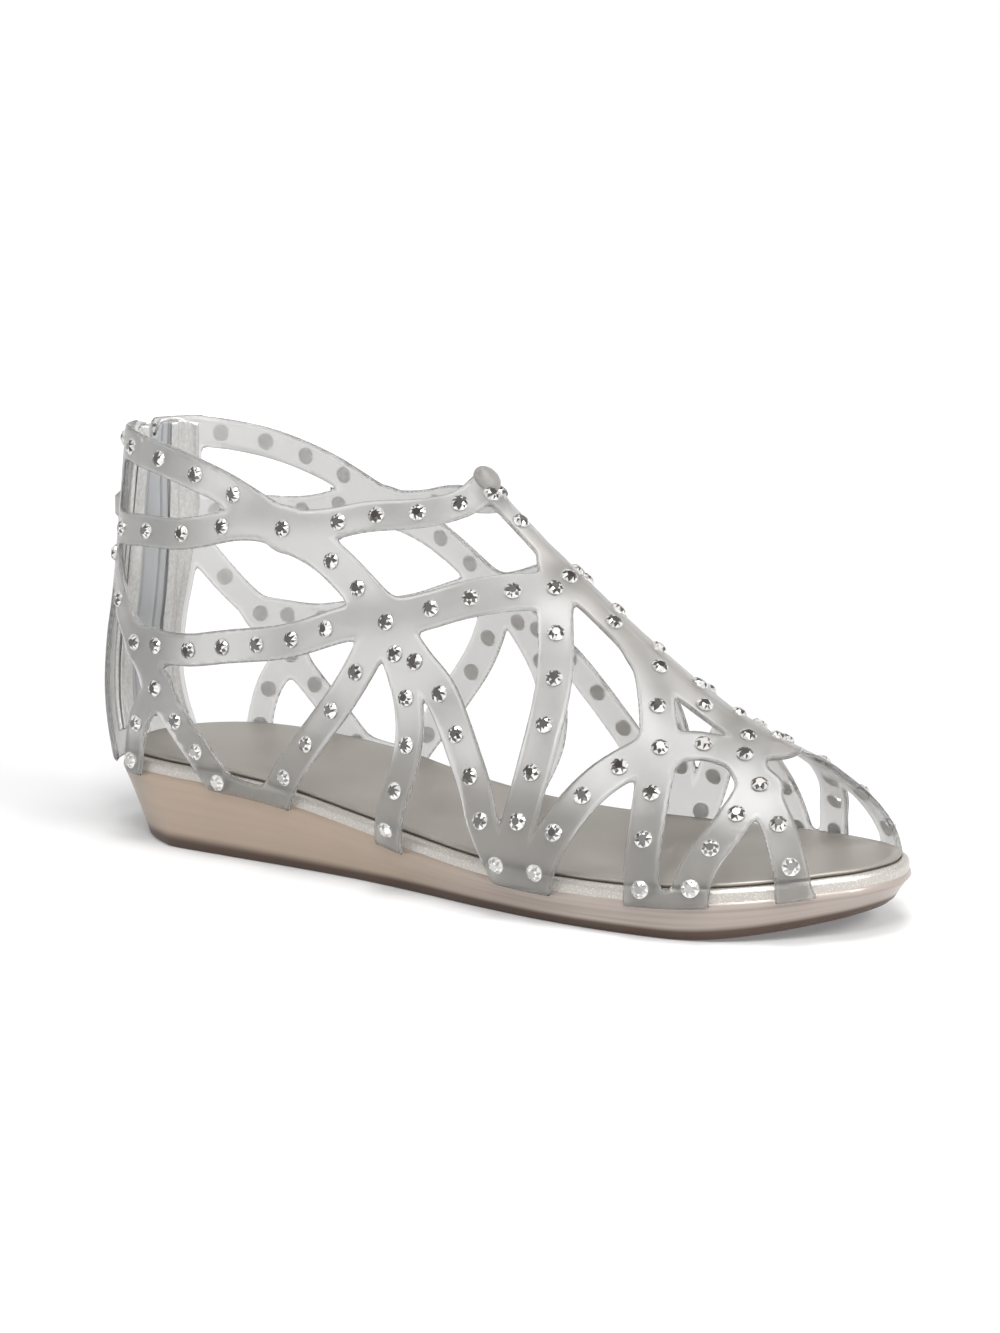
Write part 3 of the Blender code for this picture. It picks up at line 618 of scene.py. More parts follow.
def heel_edge(up, which):
    """Share round from the centre back to an edge of the heel opening, read from the table at the
    height that belongs to the share up."""
    seat = column("seat", 0.0)
    height = seat + (column("close", 0.0) - seat) * (1.0 - np.abs(1.0 - up) ** ROUND_TOP)
    return np.interp(height / COLLAR_TOP, HEEL[:, 0], HEEL[:, which]) * FACING / AROUND


collar_share = heel_edge(height_share(COLLAR_TOP), FACING_EDGE)
print("facing at the collar:", round(float(collar_share * AROUND), 1), "mm wide")

# %% [markdown]
# A strap's few points become a smooth line with a point at every millimetre. Even steps matter, because
# the strap's width and its crystals are both stated as shares of the length.

# %% Even points along a strap
def path_of(points, step=1.0):
    """Even points, step millimetres apart, on a smooth curve through a strap's points, and the curve's
    length. Between two points b and c the curve is a cubic that leaves b in the direction from a to c,
    and reaches c in the direction from b to d."""
    knots = np.array([POINTS[p] if isinstance(p, str) else p for p in points], float)
    ends = np.vstack([2 * knots[0] - knots[1], knots, 2 * knots[-1] - knots[-2]])
    t = np.linspace(0.0, 1.0, 24, endpoint=False)[:, None]
    fine = [0.5 * (2 * b + (c - a) * t + (2 * a - 5 * b + 4 * c - d) * t ** 2
                   + (3 * b - a - 3 * c + d) * t ** 3)
            for a, b, c, d in zip(ends, ends[1:], ends[2:], ends[3:])]
    fine = np.vstack(fine + [knots[-1:]])
    solid = last(fine[:, 0], fine[:, 1])
    run = np.r_[0.0, np.cumsum(np.linalg.norm(np.diff(solid, axis=0), axis=1))]
    even = np.linspace(0.0, run[-1], max(int(round(run[-1] / step)), 2) + 1)
    return np.column_stack([np.interp(even, run, fine[:, 0]), np.interp(even, run, fine[:, 1])]), run[-1]


print("collar strap:", round(float(path_of(STRAPS["collar"][0])[1]), 1), "mm long")

# %% [markdown]
# ## The cage as a distance
#
# Where straps cross, the mould has one smooth sheet with rounded crotches. Drawing each strap as its
# own mesh would leave seams there. Instead a fine grid of points covers the whole last, and each point
# gets its distance to the nearest strap's edge: below zero inside a strap, above zero in a gap. Blending
# the straps' distances rounds every crotch, and the line where the distance is zero is the cage's edge.

# %% Distance from points to one strap
FAR = 12.0            # distance given to points that are nowhere near a strap
MARGIN = 14.0         # how far round a strap's box points are looked at


def strap_distance(points, path, run, start, end):
    """Least distance from the points to the strap's centre line, less its half width there."""
    line = last(path[:, 0], path[:, 1])
    here = np.linspace(0.0, run, len(path))
    wide = STRAP * np.interp(here, [0.0, run], [start, end])
    ends = np.exp(-here / (0.5 * STRAP)) + np.exp((here - run) / (0.5 * STRAP))
    half = wide * (1.0 + STRAP_FLARE * ends) / 2.0
    near = ((points > line.min(0) - MARGIN) & (points < line.max(0) + MARGIN)).all(1)
    found = np.full(len(points), FAR)
    gap = np.linalg.norm(points[near][:, None, :] - line[None], axis=2) - half
    found[near] = gap.min(1)
    return found


def all_lines():
    """(path, length, width at the start, width at the end) of every strap of both sides and the ridge."""
    lines = []
    for through, start, end, _ in STRAPS.values():
        path, run = path_of(through)
        lines.append((path, run, start, end))
        lines.append((np.column_stack([path[:, 0], 2.0 - path[:, 1]]), run, start, end))
    for through, start, end in RIDGE:
        path, run = path_of(through)
        lines.append((path, run, start, end))
    return lines


print("lines in the cage:", len(all_lines()))

# %% [markdown]
# The soft minimum of distances a, b, c is -f log(exp(-a/f) + exp(-b/f) + exp(-c/f)). Far from a crossing
# it is the least of them. Within about f of a crossing it is less than each, which fills the crotch with
# a fillet. The fillet is wider at the feet of the straps than at the top, as in the photograph.

# %% Distance to the edge of the cage
FILLET_TOP = 0.6
FILLET_FOOT = 1.0
DEEPEST = -9.0        # limits of a distance, which keep the exponentials small
FARTHEST = 40.0


def edge_field(share, over):
    """Distance to the cage's edge: a soft minimum over all straps, then the cuts at zip and foot."""
    points = last(share, over)
    total = np.zeros(len(points))
    up = 1.0 - np.abs(1.0 - over)
    above = np.clip(points[:, 2] - column("seat", share), 0.0, None)
    fillet = FILLET_TOP + (FILLET_FOOT - FILLET_TOP) * np.exp(-above / 14.0)
    for path, run, start, end in all_lines():
        total += np.exp(-strap_distance(points, path, run, start, end) / fillet)
    rise_slope = ROUND_TOP * (column("close", share) - column("seat", share))
    forms = [np.maximum((share - heel_edge(up, BAND_EDGE)) * AROUND, points[:, 2] - COLLAR_TOP)]
    for first, final, top in WEBS:
        across = np.maximum(first - share, share - final) * AROUND
        forms.append(np.maximum(across, (up - top) * rise_slope))
    forms.append(np.linalg.norm(points - last(*KNOB), axis=1) - KNOB_RADIUS)
    for form in forms:
        total += np.exp(-np.clip(form, DEEPEST, FARTHEST) / fillet)
    field = -fillet * np.log(total)
    from_zip = share * AROUND - ZIP_HALF
    corner = 2.0 * np.clip(1.0 - from_zip / 2.5, 0.0, 1.0) ** 2
    field = np.maximum(field, -from_zip)
    field = np.maximum(field, points[:, 2] - COLLAR_TOP - 0.4 + corner)
    return np.maximum(field, -up * rise_slope)


COLUMNS_OF_GRID = 313
ROWS_OF_GRID = 215
share_line = np.linspace(ZIP_HALF / AROUND, 0.97, COLUMNS_OF_GRID)
over_line = np.linspace(0.0, 2.0, ROWS_OF_GRID)
grid_share, grid_over = (part.ravel() for part in np.meshgrid(share_line, over_line, indexing="ij"))
field = edge_field(grid_share, grid_over)
print("grid points:", field.size, "inside a strap:", int((field < 0).sum()))

# %% [markdown]
# The grid's triangles are then cut along lines of equal distance, first at the edge itself, where what
# lies outside is thrown away, and then a little inside it, so that there are enough points to round the
# edge. A cut takes one corner off a triangle and leaves a four-sided rest, which becomes two triangles.
# Numpy does this for all triangles at once.

# %% Cutting triangles along a line of equal distance
def split(uv, value, tris, level, keep_outside):
    """Cuts the triangles where value equals level. A cut edge gets one new point, at the share of the
    edge where a straight line between its two values reaches the level."""
    low = value < level
    inside = low[tris]
    count = inside.sum(1)
    whole = [tris[count == 3]] + ([tris[count == 0]] if keep_outside else [])
    alone_in = tris[count == 1]
    alone_out = tris[count == 2]

    def turned(rows, flags):
        """Rotates each row so that its odd corner comes first."""
        first = flags.argmax(1)
        order = (first[:, None] + np.arange(3)) % 3
        return np.take_along_axis(rows, order, 1)

    rows = np.concatenate([turned(alone_in, inside[count == 1]), turned(alone_out, ~inside[count == 2])])
    pairs = np.concatenate([rows[:, [0, 1]], rows[:, [0, 2]]])
    edges, back = np.unique(np.sort(pairs, 1), axis=0, return_inverse=True)
    back = back.ravel()
    v0 = value[edges[:, 0]]
    v1 = value[edges[:, 1]]
    t = np.clip((level - v0) / (v1 - v0), 0.0, 1.0)[:, None]
    new_uv = uv[edges[:, 0]] * (1 - t) + uv[edges[:, 1]] * t
    odd, second, third = rows.T
    cut_2 = len(uv) + back[:len(rows)]
    cut_3 = len(uv) + back[len(rows):]
    corner = np.column_stack([odd, cut_2, cut_3])
    rest = (np.column_stack([cut_2, second, third]), np.column_stack([cut_2, third, cut_3]))
    first_out = len(alone_in)
    kept = whole + [corner[:first_out]] + [half[first_out:] for half in rest]
    if keep_outside:
        kept += [half[:first_out] for half in rest] + [corner[first_out:]]
    return np.vstack([uv, new_uv]), np.r_[value, np.full(len(new_uv), level)], np.vstack(kept)


def compact(uv, value, tris):
    """Drops the points that no triangle uses, and triangles without area."""
    used, back = np.unique(tris, return_inverse=True)
    tris = back.reshape(-1, 3)
    good = (tris[:, 0] != tris[:, 1]) & (tris[:, 1] != tris[:, 2]) & (tris[:, 0] != tris[:, 2])
    return uv[used], value[used], tris[good]


quads = grid_faces(COLUMNS_OF_GRID, ROWS_OF_GRID)
tris = np.concatenate([quads[:, [0, 2, 1]], quads[:, [0, 3, 2]]])
uv = np.column_stack([grid_share, grid_over])
shape = compact(*split(uv, field, tris, 0.0, False))
print("triangles inside the edge:", len(shape[2]))


# %% [markdown]
# The outer sheet gets two more lines and the inner sheet one, since it is seen less. Both keep the same
# points on the edge itself, so they can be joined there.

# %% Lines for the rounded edge
def with_lines(levels):
    """The cut sheet with further lines of equal distance in it."""
    cut = shape
    for level in levels:
        cut = compact(*split(*cut, level, True))
    return cut


OUTER_BENDS = (0.12, 0.55)
INNER_BENDS = (0.35,)
outer_uv, outer_value, outer_tris = with_lines([-bend for bend in OUTER_BENDS])
inner_uv, inner_value, inner_tris = with_lines([-bend for bend in INNER_BENDS])
print("triangles of the outer and the inner sheet:", len(outer_tris), len(inner_tris))

# %% [markdown]
# Each point now gets its depth. In the middle of a strap the outer sheet lies on the last and the inner
# sheet one wall's thickness below. Within 0.9 mm of the edge both follow a quarter circle to meet
# halfway, which is the rounded edge of the moulding. A soft trough runs along the ridge between its two
# rows of crystals, and the straps' feet reach a little down over the wedge's top edge.

# %% Rounded walls
HALF_WALL = WALL / 2.0
FOOT_DROP = 0.4


def cage_sheets(uv, value, bends):
    """Outer and inner points, and warmth. Depth near the edge: r - sqrt(r^2 - (r - e)^2) for a distance
    e, worked out at the lines where the sheet may bend and straight between them, so that the edge is
    even. The trough along the ridge has the bell shape exp(-(distance / 0.7)^2)."""
    share, over = uv[:, 0], uv[:, 1]
    lines = np.array([0.0, *bends, HALF_WALL])
    sunk = HALF_WALL - np.sqrt(HALF_WALL ** 2 - (HALF_WALL - lines) ** 2)
    round_off = np.interp(-value, lines, sunk)
    flat = last(share, over)
    normal = outward(share, over)
    ridge = np.linalg.norm(flat - last(share, np.ones(len(share))), axis=1)
    groove = (0.30 * np.exp(-(ridge / 0.7) ** 2) * np.clip((share - 0.60) / 0.03, 0, 1)
              * np.clip((0.80 - share) / 0.02, 0, 1))
    outer = flat - normal * (round_off + groove)[:, None]
    inner = flat - normal * (WALL - round_off)[:, None]
    up = 1.0 - np.abs(1.0 - over)
    above = up * ROUND_TOP * (column("close", share) - column("seat", share))
    drop = FOOT_DROP * np.clip(1.0 - above / 7.0, 0.0, 1.0)[:, None] * (0.0, 0.0, 1.0)
    warm = 0.5 * np.exp(-(ridge / 8.0) ** 2) * np.clip((share - 0.53) / 0.05, 0.0, 1.0)
    return outer - drop, inner - drop, warm


outer, _, outer_warm = cage_sheets(outer_uv, outer_value, OUTER_BENDS)
_, inner, inner_warm = cage_sheets(inner_uv, inner_value, INNER_BENDS)
rim = np.flatnonzero(inner_value > -1e-6)
rim_of_outer = np.flatnonzero(outer_value > -1e-6)
same = np.array_equal(inner_uv[rim], outer_uv[rim_of_outer])
print("rim points:", len(rim), "the same in both sheets:", same)

# %% [markdown]
# The two sheets become one closed body. Each rim point of the inner sheet is replaced by the outer
# sheet's point in the same place, and the inner triangles are turned round, so that they face inwards to
# the foot.

# %% The cage as one closed mesh
partner = len(outer) + np.arange(len(inner))
partner[rim] = rim_of_outer
points = np.vstack([outer, inner])
faces = np.vstack([outer_tris, partner[inner_tris][:, ::-1]])
used, back = np.unique(faces, return_inverse=True)
cage = make_piece("cage", points[used], back.reshape(-1, 3), jelly.owner,
                  edge=-np.r_[outer_value, inner_value][used], warm=np.r_[outer_warm, inner_warm][used])
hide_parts("upper")

# %% [markdown]
# The ridge ends at the throat in a small rounded knob, where the wearer pulls the shoe on. It is an
# egg: a ball whose three radii differ, lying along the ridge and sunk halfway into it.

# %% Knob at the throat
def egg(name, centre, axes, mat, rows=20, cols=32):
    """Ball with three radii: centre + cos(a) cos(b) X + cos(a) sin(b) Y + sin(a) Z."""
    a, b = np.meshgrid(np.linspace(-0.5 * np.pi, 0.5 * np.pi, rows),
                       np.linspace(0, 2 * np.pi, cols, endpoint=False), indexing="ij")
    share = np.stack([np.cos(a) * np.cos(b), np.cos(a) * np.sin(b), np.sin(a)], -1)
    flat = (centre + share @ np.asarray(axes)).reshape(-1, 3)
    return make_piece(name, flat, grid_faces(rows, cols, closed=True), mat,
                      edge=np.full(len(flat), 2.0), warm=np.full(len(flat), 0.4))


ahead = last(0.530, 1.0) - last(0.514, 1.0)
ahead /= np.linalg.norm(ahead)
sideways = np.array([0.0, 1.0, 0.0])
upright = np.cross(ahead, sideways)
knob = egg("throat_knob", last(0.515, 1.0) + 0.2 * upright,
           (4.4 * ahead, 3.7 * sideways, 3.0 * upright), knob_painted_lighter_look.owner)

# %% [markdown]
# ## Crystals
#
# A flat-back crystal is a low dome of glass on a foil disc: a flat table on top, a ring of eight kites
# round it, and a ring of small facets down to the girdle. One such gem is made as a small mesh, and
# then copied by arithmetic to every place along the straps, each copy turned to face out.

# %% One gem
GEM_RADIUS = 2.35
GEM_HEIGHT = 1.35     # of the table above the strap, in mm


def gem_template():
    """Rings of 8, 8, 16 and 16 points from the table to the base, as (x, y, z) in gem radii."""
    turn8 = np.arange(8) * np.pi / 4
    turn16 = np.arange(16) * np.pi / 8
    rings = [(turn8, 0.46, 1.0), (turn8 + np.pi / 8, 0.72, 0.80),
             (turn16, 1.0, 0.30), (turn16, 1.0, -0.30)]
    points = np.vstack([np.column_stack([r * np.cos(t), r * np.sin(t), np.full(len(t), z)])
                        for t, r, z in rings])
    faces = [[0, 1, 2, 3, 4, 5, 6, 7]]
    for k in range(8):
        after = (k + 1) % 8
        faces.append([k, 8 + k, after])
        faces.append([after, 8 + k, 16 + (2 * k + 2) % 16])
        faces.append([after, 16 + (2 * k + 2) % 16, 8 + after])
        faces.append([8 + k, 16 + 2 * k, 16 + 2 * k + 1])
        faces.append([8 + k, 16 + 2 * k + 1, 16 + (2 * k + 2) % 16])
    for k in range(16):
        faces.append([16 + k, 32 + k, 32 + (k + 1) % 16, 16 + (k + 1) % 16])
    return points, faces


gem_points, gem_faces = gem_template()
print("one gem:", len(gem_points), "points", len(gem_faces), "facets")

# %% [markdown]
# The crystals stand along the straps' centre lines, and in two rows beside the ridge, where they are
# set by hand and so are not quite even. A crystal's place is again a pair of shares.

# %% Places of all crystals
def strap_places():
    """(share, over) of the crystals of all straps, both sides."""
    rows = []
    for through, _, _, (many, first, final) in STRAPS.values():
        path, run = path_of(through)
        at = np.linspace(first, final, many) * (len(path) - 1)
        knots = np.arange(len(path))
        rows.append(np.column_stack([np.interp(at, knots, path[:, 0]), np.interp(at, knots, path[:, 1])]))
    side = np.vstack(rows + [np.array([POINTS["collar_cross"], POINTS["hub"]])])
    return np.vstack([side, np.column_stack([side[:, 0], 2.0 - side[:, 1]])])


def ridge_places():
    """(share, over) of the rows beside the ridge, at a distance from it in millimetres."""
    outer = zip(np.linspace(0.613, 0.810, 5), -np.linspace(2.6, 4.8, 5))
    inner = [(share, 4.2) for share in np.linspace(0.608, 0.825, 6)]
    found = []
    for share, away in [(0.526, -2.4), (0.526, 2.4), (0.556, -1.0), *outer, *inner]:
        part = np.linspace(1.0, 0.7, 160)
        run = np.linalg.norm(last(np.full(160, share), part) - last(share, 1.0), axis=1)
        over = np.interp(abs(away), run, part)
        found.append((share, over if away < 0 else 2.0 - over))
    return np.array(found)


places = np.vstack([strap_places(), ridge_places()])
print("crystals:", len(places))

# %% [markdown]
# The surface's normal and its slope round the foot give each gem a frame of its own, turned about the
# normal by a random angle. All gems are then placed in one sum: centre + x X + y Y + z normal.

# %% All gems in place
rng = np.random.default_rng(7)
normal = outward(places[:, 0], places[:, 1])
ahead_dir = slopes(places[:, 0], places[:, 1])[0]
ahead_dir /= np.linalg.norm(ahead_dir, axis=1, keepdims=True)
across_dir = np.cross(normal, ahead_dir)
spin = rng.uniform(0, np.pi, len(places))[:, None]
axis_x = ahead_dir * np.cos(spin) + across_dir * np.sin(spin)
axis_y = np.cross(normal, axis_x)
centre = last(places[:, 0], places[:, 1])
flat_part = gem_points[None, :, 0:1] * axis_x[:, None] + gem_points[None, :, 1:2] * axis_y[:, None]
gems = centre[:, None, :] + GEM_RADIUS * flat_part + GEM_HEIGHT * gem_points[None, :, 2:3] * normal[:, None]
print("highest crystal:", round(float(gems[..., 2].max()), 1), "mm up")

# %% [markdown]
# Each facet gets points of its own, so that it can have its own painted brightness and a sharp edge. The
# painted reflections follow a real stone: the middle is dark with a few painted glints, and the facets at
# the girdle are painted bright. Near the insole the stones are painted lighter all over, as a painted
# reflection of the pale leather below them.

# %% Facets with a brightness each
corner_of = np.concatenate([np.array(f) for f in gem_faces])
size_of = np.array([len(f) for f in gem_faces])
start_of = np.r_[0, np.cumsum(size_of)[:-1]]
own = gems[:, corner_of, :].reshape(-1, 3)
own_faces = [list(range(n * len(corner_of) + s, n * len(corner_of) + s + k))
             for n in range(len(places)) for s, k in zip(start_of, size_of)]
# Painted reflections and glints, one per facet, painted lighter low on the straps.
chance = rng.random((len(places), len(gem_faces)))
ring_of = np.array([0] + [1, 2, 2, 3, 3] * 8 + [4] * 16)
glint = np.where(chance < 0.70, 0.22 * chance, 0.95)
shade = np.where(ring_of == 0, 0.15 * chance, np.where(ring_of <= 2, glint, 0.55 + 0.45 * chance))
above = centre[:, 2] - column("seat", places[:, 0])
lit = 0.75 * np.exp(-(above / 13.0) ** 2)[:, None]
shade = shade + (1.0 - shade) * lit * (0.5 + 0.5 * chance)
crystals = make_piece("crystals", own, own_faces, crystal_look.owner, smooth=False,
                      facet=np.repeat(shade, size_of, axis=1))

# %% [markdown]
# Each crystal has its foil in the strap's surface. From the front the stone hides it. From behind it
# shows through the jelly as a grey dot, as on the far side in the photograph.

# %% Foil discs
FOIL_CORNERS = 20
FOIL_DEPTH = 0.55
turn = np.linspace(0, 2 * np.pi, FOIL_CORNERS, endpoint=False)
disc = np.column_stack([np.cos(turn), np.sin(turn)]) * GEM_RADIUS * 1.02
discs = (centre[:, None, :] - FOIL_DEPTH * normal[:, None]
         + disc[None, :, 0:1] * axis_x[:, None] + disc[None, :, 1:2] * axis_y[:, None])
index = np.arange(len(places) * FOIL_CORNERS).reshape(-1, FOIL_CORNERS)
foils = make_piece("crystal_foils", discs, index, foil_look.owner, smooth=False)

# %% [markdown]
# ## Sole, insole and sock
#
# These three are slabs: a profile carried round the outline of the foot. Each row of a profile says how
# far in from the outline it lies and how high. The insole's rand is half a roll, so its profile is an
# ellipse. The wedge slants in towards the floor, most of all at its back.

# %% Outline and slabs
STATIONS = 150


def outline():
    """Plan outline of the insole in one closed loop, and the spine that its rings shrink towards."""
    even = np.linspace(0.0, 1.0, STATIONS)
    share = 0.4 * even + 0.3 * (1.0 - np.cos(np.pi * even))
    half = column("insole", share)
    middle = column("centre", share)
    along = column("along", share)
    along = along + (WALL + 2 * GAP + 2.5) * np.clip(1.0 - along / (0.112 * LENGTH), 0.0, 1.0)
    x = np.concatenate([along, along[-2:0:-1]])
    y = np.concatenate([middle - half, (middle + half)[-2:0:-1]])
    spine = np.clip(x, 0.12 * LENGTH, 0.85 * LENGTH)
    return np.column_stack([x, y]), np.column_stack([spine, np.interp(spine, along, middle)])


def seat_at(x):
    """Height of the insole's underside at a distance from the heel."""
    share = np.linspace(0.0, 1.0, 201)
    return np.interp(x, column("along", share), column("seat", share))


def tread_at(x):
    """Height of the tread: flat from the heel to the ball, then the toe spring."""
    return TOE_SPRING * np.clip((x / LENGTH - 0.816) / 0.184, 0.0, 1.1) ** 1.7


edge_line, _ = outline()
print("insole:", np.round(np.ptp(edge_line, axis=0), 1), "mm")

# %% [markdown]
# A slab shrinks the outline in two ways. An inset moves it in by so many millimetres, towards the
# spine along the middle. The share to the spine closes the top and the bottom.

# %% Slab from a profile
def slab(name, rows, mat, node):
    """Closed solid from rings: each row is (inset from the outline, share to the spine, height rule,
    rise), where rise is kept on the points for the material."""
    edge_line, spine = outline()
    out = edge_line - spine
    reach = np.linalg.norm(out, axis=-1)
    rings = []
    for inset, inward, height, _ in rows:
        cut = inset(edge_line[:, 0]) if callable(inset) else inset
        flat = spine + out * ((1.0 - cut / reach) * (1.0 - inward))[:, None]
        rings.append(np.column_stack([flat, height(flat[:, 0])]))
    around = len(edge_line)
    points = np.concatenate(rings)
    obj = make_piece(name, points, grid_faces(len(rings), around, closed=True), mat,
                     rise=np.repeat([row[3] for row in rows], around), ahead=points[:, 0] / LENGTH)
    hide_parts(node)
    return obj


def above_seat(level):
    """Height rule: a level above the insole's underside."""
    return lambda x: seat_at(x) + level


# %% [markdown]
# The rand is leather rolled over the board's edge: a small round at the foot, a quarter ellipse up to
# its top, and a fall to the bed, in which the sock lies.

# %% Insole with its rolled rand
bed = INSOLE - 0.6 * SOCK
shoulder = 0.48 * INSOLE
roll = [(0.45 * (1.0 - np.cos(a)), 0.0, above_seat(0.9 * (1.0 + np.sin(a))), 0.5)
        for a in np.linspace(-0.5 * np.pi, 0.0, 6)]
roll += [(RAND / 2 * (1.0 - np.cos(a)), 0.0,
          above_seat(shoulder + (0.86 * INSOLE - shoulder) * np.sin(a)), 0.5)
         for a in np.linspace(0.0, 0.80 * np.pi, 18)]
rows = [(0.0, 1.0, above_seat(0.0), 0.0), (RAND / 2, 0.5, above_seat(0.0), 0.0)] + roll
rows += [(RAND, 0.0, above_seat(bed), 1.0), (RAND + 1.0, 0.0, above_seat(bed), 1.0),
         (RAND, 0.5, above_seat(bed), 1.0), (0.0, 1.0, above_seat(bed), 1.0)]
insole = slab("insole_board", rows, rand_look.owner, "insole")

# %% [markdown]
# The sock is a thin pad. Its edge is rounded over and meets the fall of the rand.

# %% Sock
low = bed - 0.35
inset = 0.62 * RAND
rows = [(0.0, 1.0, above_seat(low), 0.0), (inset, 0.5, above_seat(low), 0.0),
        (inset, 0.0, above_seat(low), 0.0)]
rows += [(inset + 1.1 * (1.0 - np.sin(a)), 0.0,
          above_seat(low + SOCK * (0.35 + 0.65 * (1 - np.cos(a)))), 0.5)
         for a in np.linspace(0.0, 0.5 * np.pi, 7)]
rows += [(inset + 1.3 + 18.0 * t, 0.0, above_seat(low + SOCK), 1.0) for t in (0.1, 0.4)]
rows += [(inset + 1.3, 0.5, above_seat(low + SOCK), 1.0), (inset + 1.3, 0.75, above_seat(low + SOCK), 1.0),
         (0.0, 1.0, above_seat(low + SOCK), 1.0)]
sock = slab("sock", rows, sock_look.owner, "sock_lining")

# %% [markdown]
# The wedge is thickest at the heel and runs out thin at the ball. Its side slants in with depth, and its
# top edge is rounded where the straps' feet are let in.

# %% Side of the wedge
LIP = 0.55            # how far its top stands out from the insole


def slant(down):
    """How far in from the outline the side lies: more with depth, and most at the back."""
    def cut(x):
        back = np.clip(1.0 - x / (0.136 * LENGTH), 0.0, 1.0) ** 0.8
        toe = np.clip((x / LENGTH - 0.86) / 0.14, 0.0, 1.0)
        return down * (SIDE_SLANT * (1.0 + 0.8 * toe) + WEDGE_SLANT * back) - LIP
    return cut


def side(down, lift=0.0):
    """Height rule: a share of the way down from the seat to the tread."""
    def height(x):
        top = seat_at(x) - GAP
        return top + (tread_at(x) - top) * down + lift
    return height


print("the wedge's back slants in by", round(float(slant(1.0)(0.0)), 1), "mm")

# %% [markdown]
# The profile runs from the middle of the top, out and over the rounded top edge, down the side, round
# the edge of the tread, and back to the middle underneath. Each row also states its `rise` for the
# material.

# %% Wedge and forefoot sole
rows = [(0.0, 1.0, above_seat(-GAP), 1.0), (0.0, 0.5, above_seat(-GAP), 1.0),
        (1.5, 0.0, above_seat(-GAP), 1.0), (1.2, 0.0, above_seat(0.9), 1.0)]
rows += [(0.3 - (LIP + 0.3) * np.sin(a), 0.0, above_seat(0.9 - 1.8 * (1.0 - np.cos(a))), 0.97)
         for a in np.linspace(0.1, 0.45 * np.pi, 9)]
rows += [(slant(0.9 * d), 0.0, side(d), 1.0 - d) for d in np.linspace(0.24, 0.86, 14)]
rows += [(slant(0.86), 0.0, side(1.0, 1.0), 0.06), (slant(0.93), 0.0, side(1.0, 0.45), 0.03),
         (slant(1.03), 0.0, side(1.0, 0.12), 0.01), (slant(1.20), 0.0, side(1.0), 0.0),
         (slant(1.20), 0.5, side(1.0), 0.0), (0.0, 1.0, side(1.0), 0.0)]
wedge = slab("wedge", rows[::-1], wedge_look.owner, "sole_unit")

# %% [markdown]
# ## The heel
#
# Two facings of crinkled silver leather line the heel bands, and the zip's tape lies inside them. Soft
# leather that bends round a heel stands in upright folds. They are slow waves across the facing here,
# and each facing is a plate between two layers of the last.

# %% Facings with upright folds
top = height_share(COLLAR_TOP - 0.5)
foot = height_share(HEEL_SEAT + 1.5 * INSOLE)


def facing(name, inner_side, node):
    """Plate under the cage's band. A slow wave across it pushes it in by up to 0.3 mm. Its phase drifts
    with height, so that the folds aren't straight."""
    part, rise = np.meshgrid(np.linspace(0.0, 1.0, 48), np.linspace(0.0, 1.0, 160), indexing="ij")
    corner = (3.0 * np.clip(1.0 - part / 0.14, 0.0, 1.0) ** 2
              - 1.1 * np.sin(np.pi * np.clip(part / 0.9, 0.0, 1.0)))
    up = foot + (height_share(COLLAR_TOP - 0.5 - corner) - foot) * rise
    share = ZIP_HALF / AROUND * (1.0 - part) + heel_edge(up, FACING_EDGE) * part
    over = 2.0 - up if inner_side else up
    wave = 0.5 - 0.5 * np.cos(2 * np.pi * (2.6 * part + 0.25 * np.sin(9.0 * up)))
    depth = WALL + 2.0 * GAP + 0.30 * wave * np.clip(part * 6.0, 0, 1)
    points, faces = sheet_pair(layer(share, over, depth), layer(share, over, depth + LEATHER))
    obj = make_piece(name, points, faces, facing_look.owner)
    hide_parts(node)
    return obj


facing("facing_outer_side", False, "back_facing_lateral")
facing("facing_inner_side", True, "back_facing_medial")

# %% [markdown]
# The tape is woven grey ribbon, pleated lengthwise beside the teeth, and cut in a V at its top to make
# room for the slider. A pleat is the upper half of a sine wave, squared, that wanders a little on its
# way down.

# %% Tape of the zip
flat_across, rise = np.meshgrid(np.linspace(-TAPE_HALF, TAPE_HALF, 101), np.linspace(0.0, 1.0, 140),
                                indexing="ij")
away = np.abs(flat_across)
notch = 4.0 * np.clip(1.0 - (away - 1.5) / 4.5, 0.0, 1.0) ** 2
flat_up = foot + (height_share(COLLAR_TOP - 0.5 - notch) - foot) * rise
round_heel = away / AROUND
side_over = np.where(flat_across < 0, flat_up, 2.0 - flat_up)
wander = 0.5 * np.sin(7.0 * rise + 1.0) + 0.25 * np.sin(17.0 * rise)
pleat = np.clip(np.sin(2 * np.pi * (away + wander) / 3.8), 0.0, 1.0) ** 2
fold = pleat * np.clip((away - 3.0) / 1.5, 0.0, 1.0)
depth = WALL + LEATHER + 3.0 * GAP + 0.45 * (1.0 - fold) * np.clip((away - 2.6) / 1.5, 0.0, 1.0)
points, faces = sheet_pair(layer(round_heel, side_over, depth), layer(round_heel, side_over, depth + TAPE))
heights = flat_up * (column("close", 0.0) - column("seat", 0.0)) * 1.3
# The pleats' shape also goes to the material, which paints them darker as painted shade.
tape = make_piece("tape", points, faces, tape_look.owner, fold=np.tile(fold.ravel(), 2),
                  across=np.tile(flat_across.ravel(), 2), up=np.tile(heights.ravel(), 2))
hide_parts("zip_tape")

# %% [markdown]
# Inside the shoe each facing has a thin lining of the same leather. It covers the tape's edge, as in
# any shoe with a zip, and the seam gathers it in soft upright folds. It replaces nothing in the frame:
# the facing's solid stands for both layers.

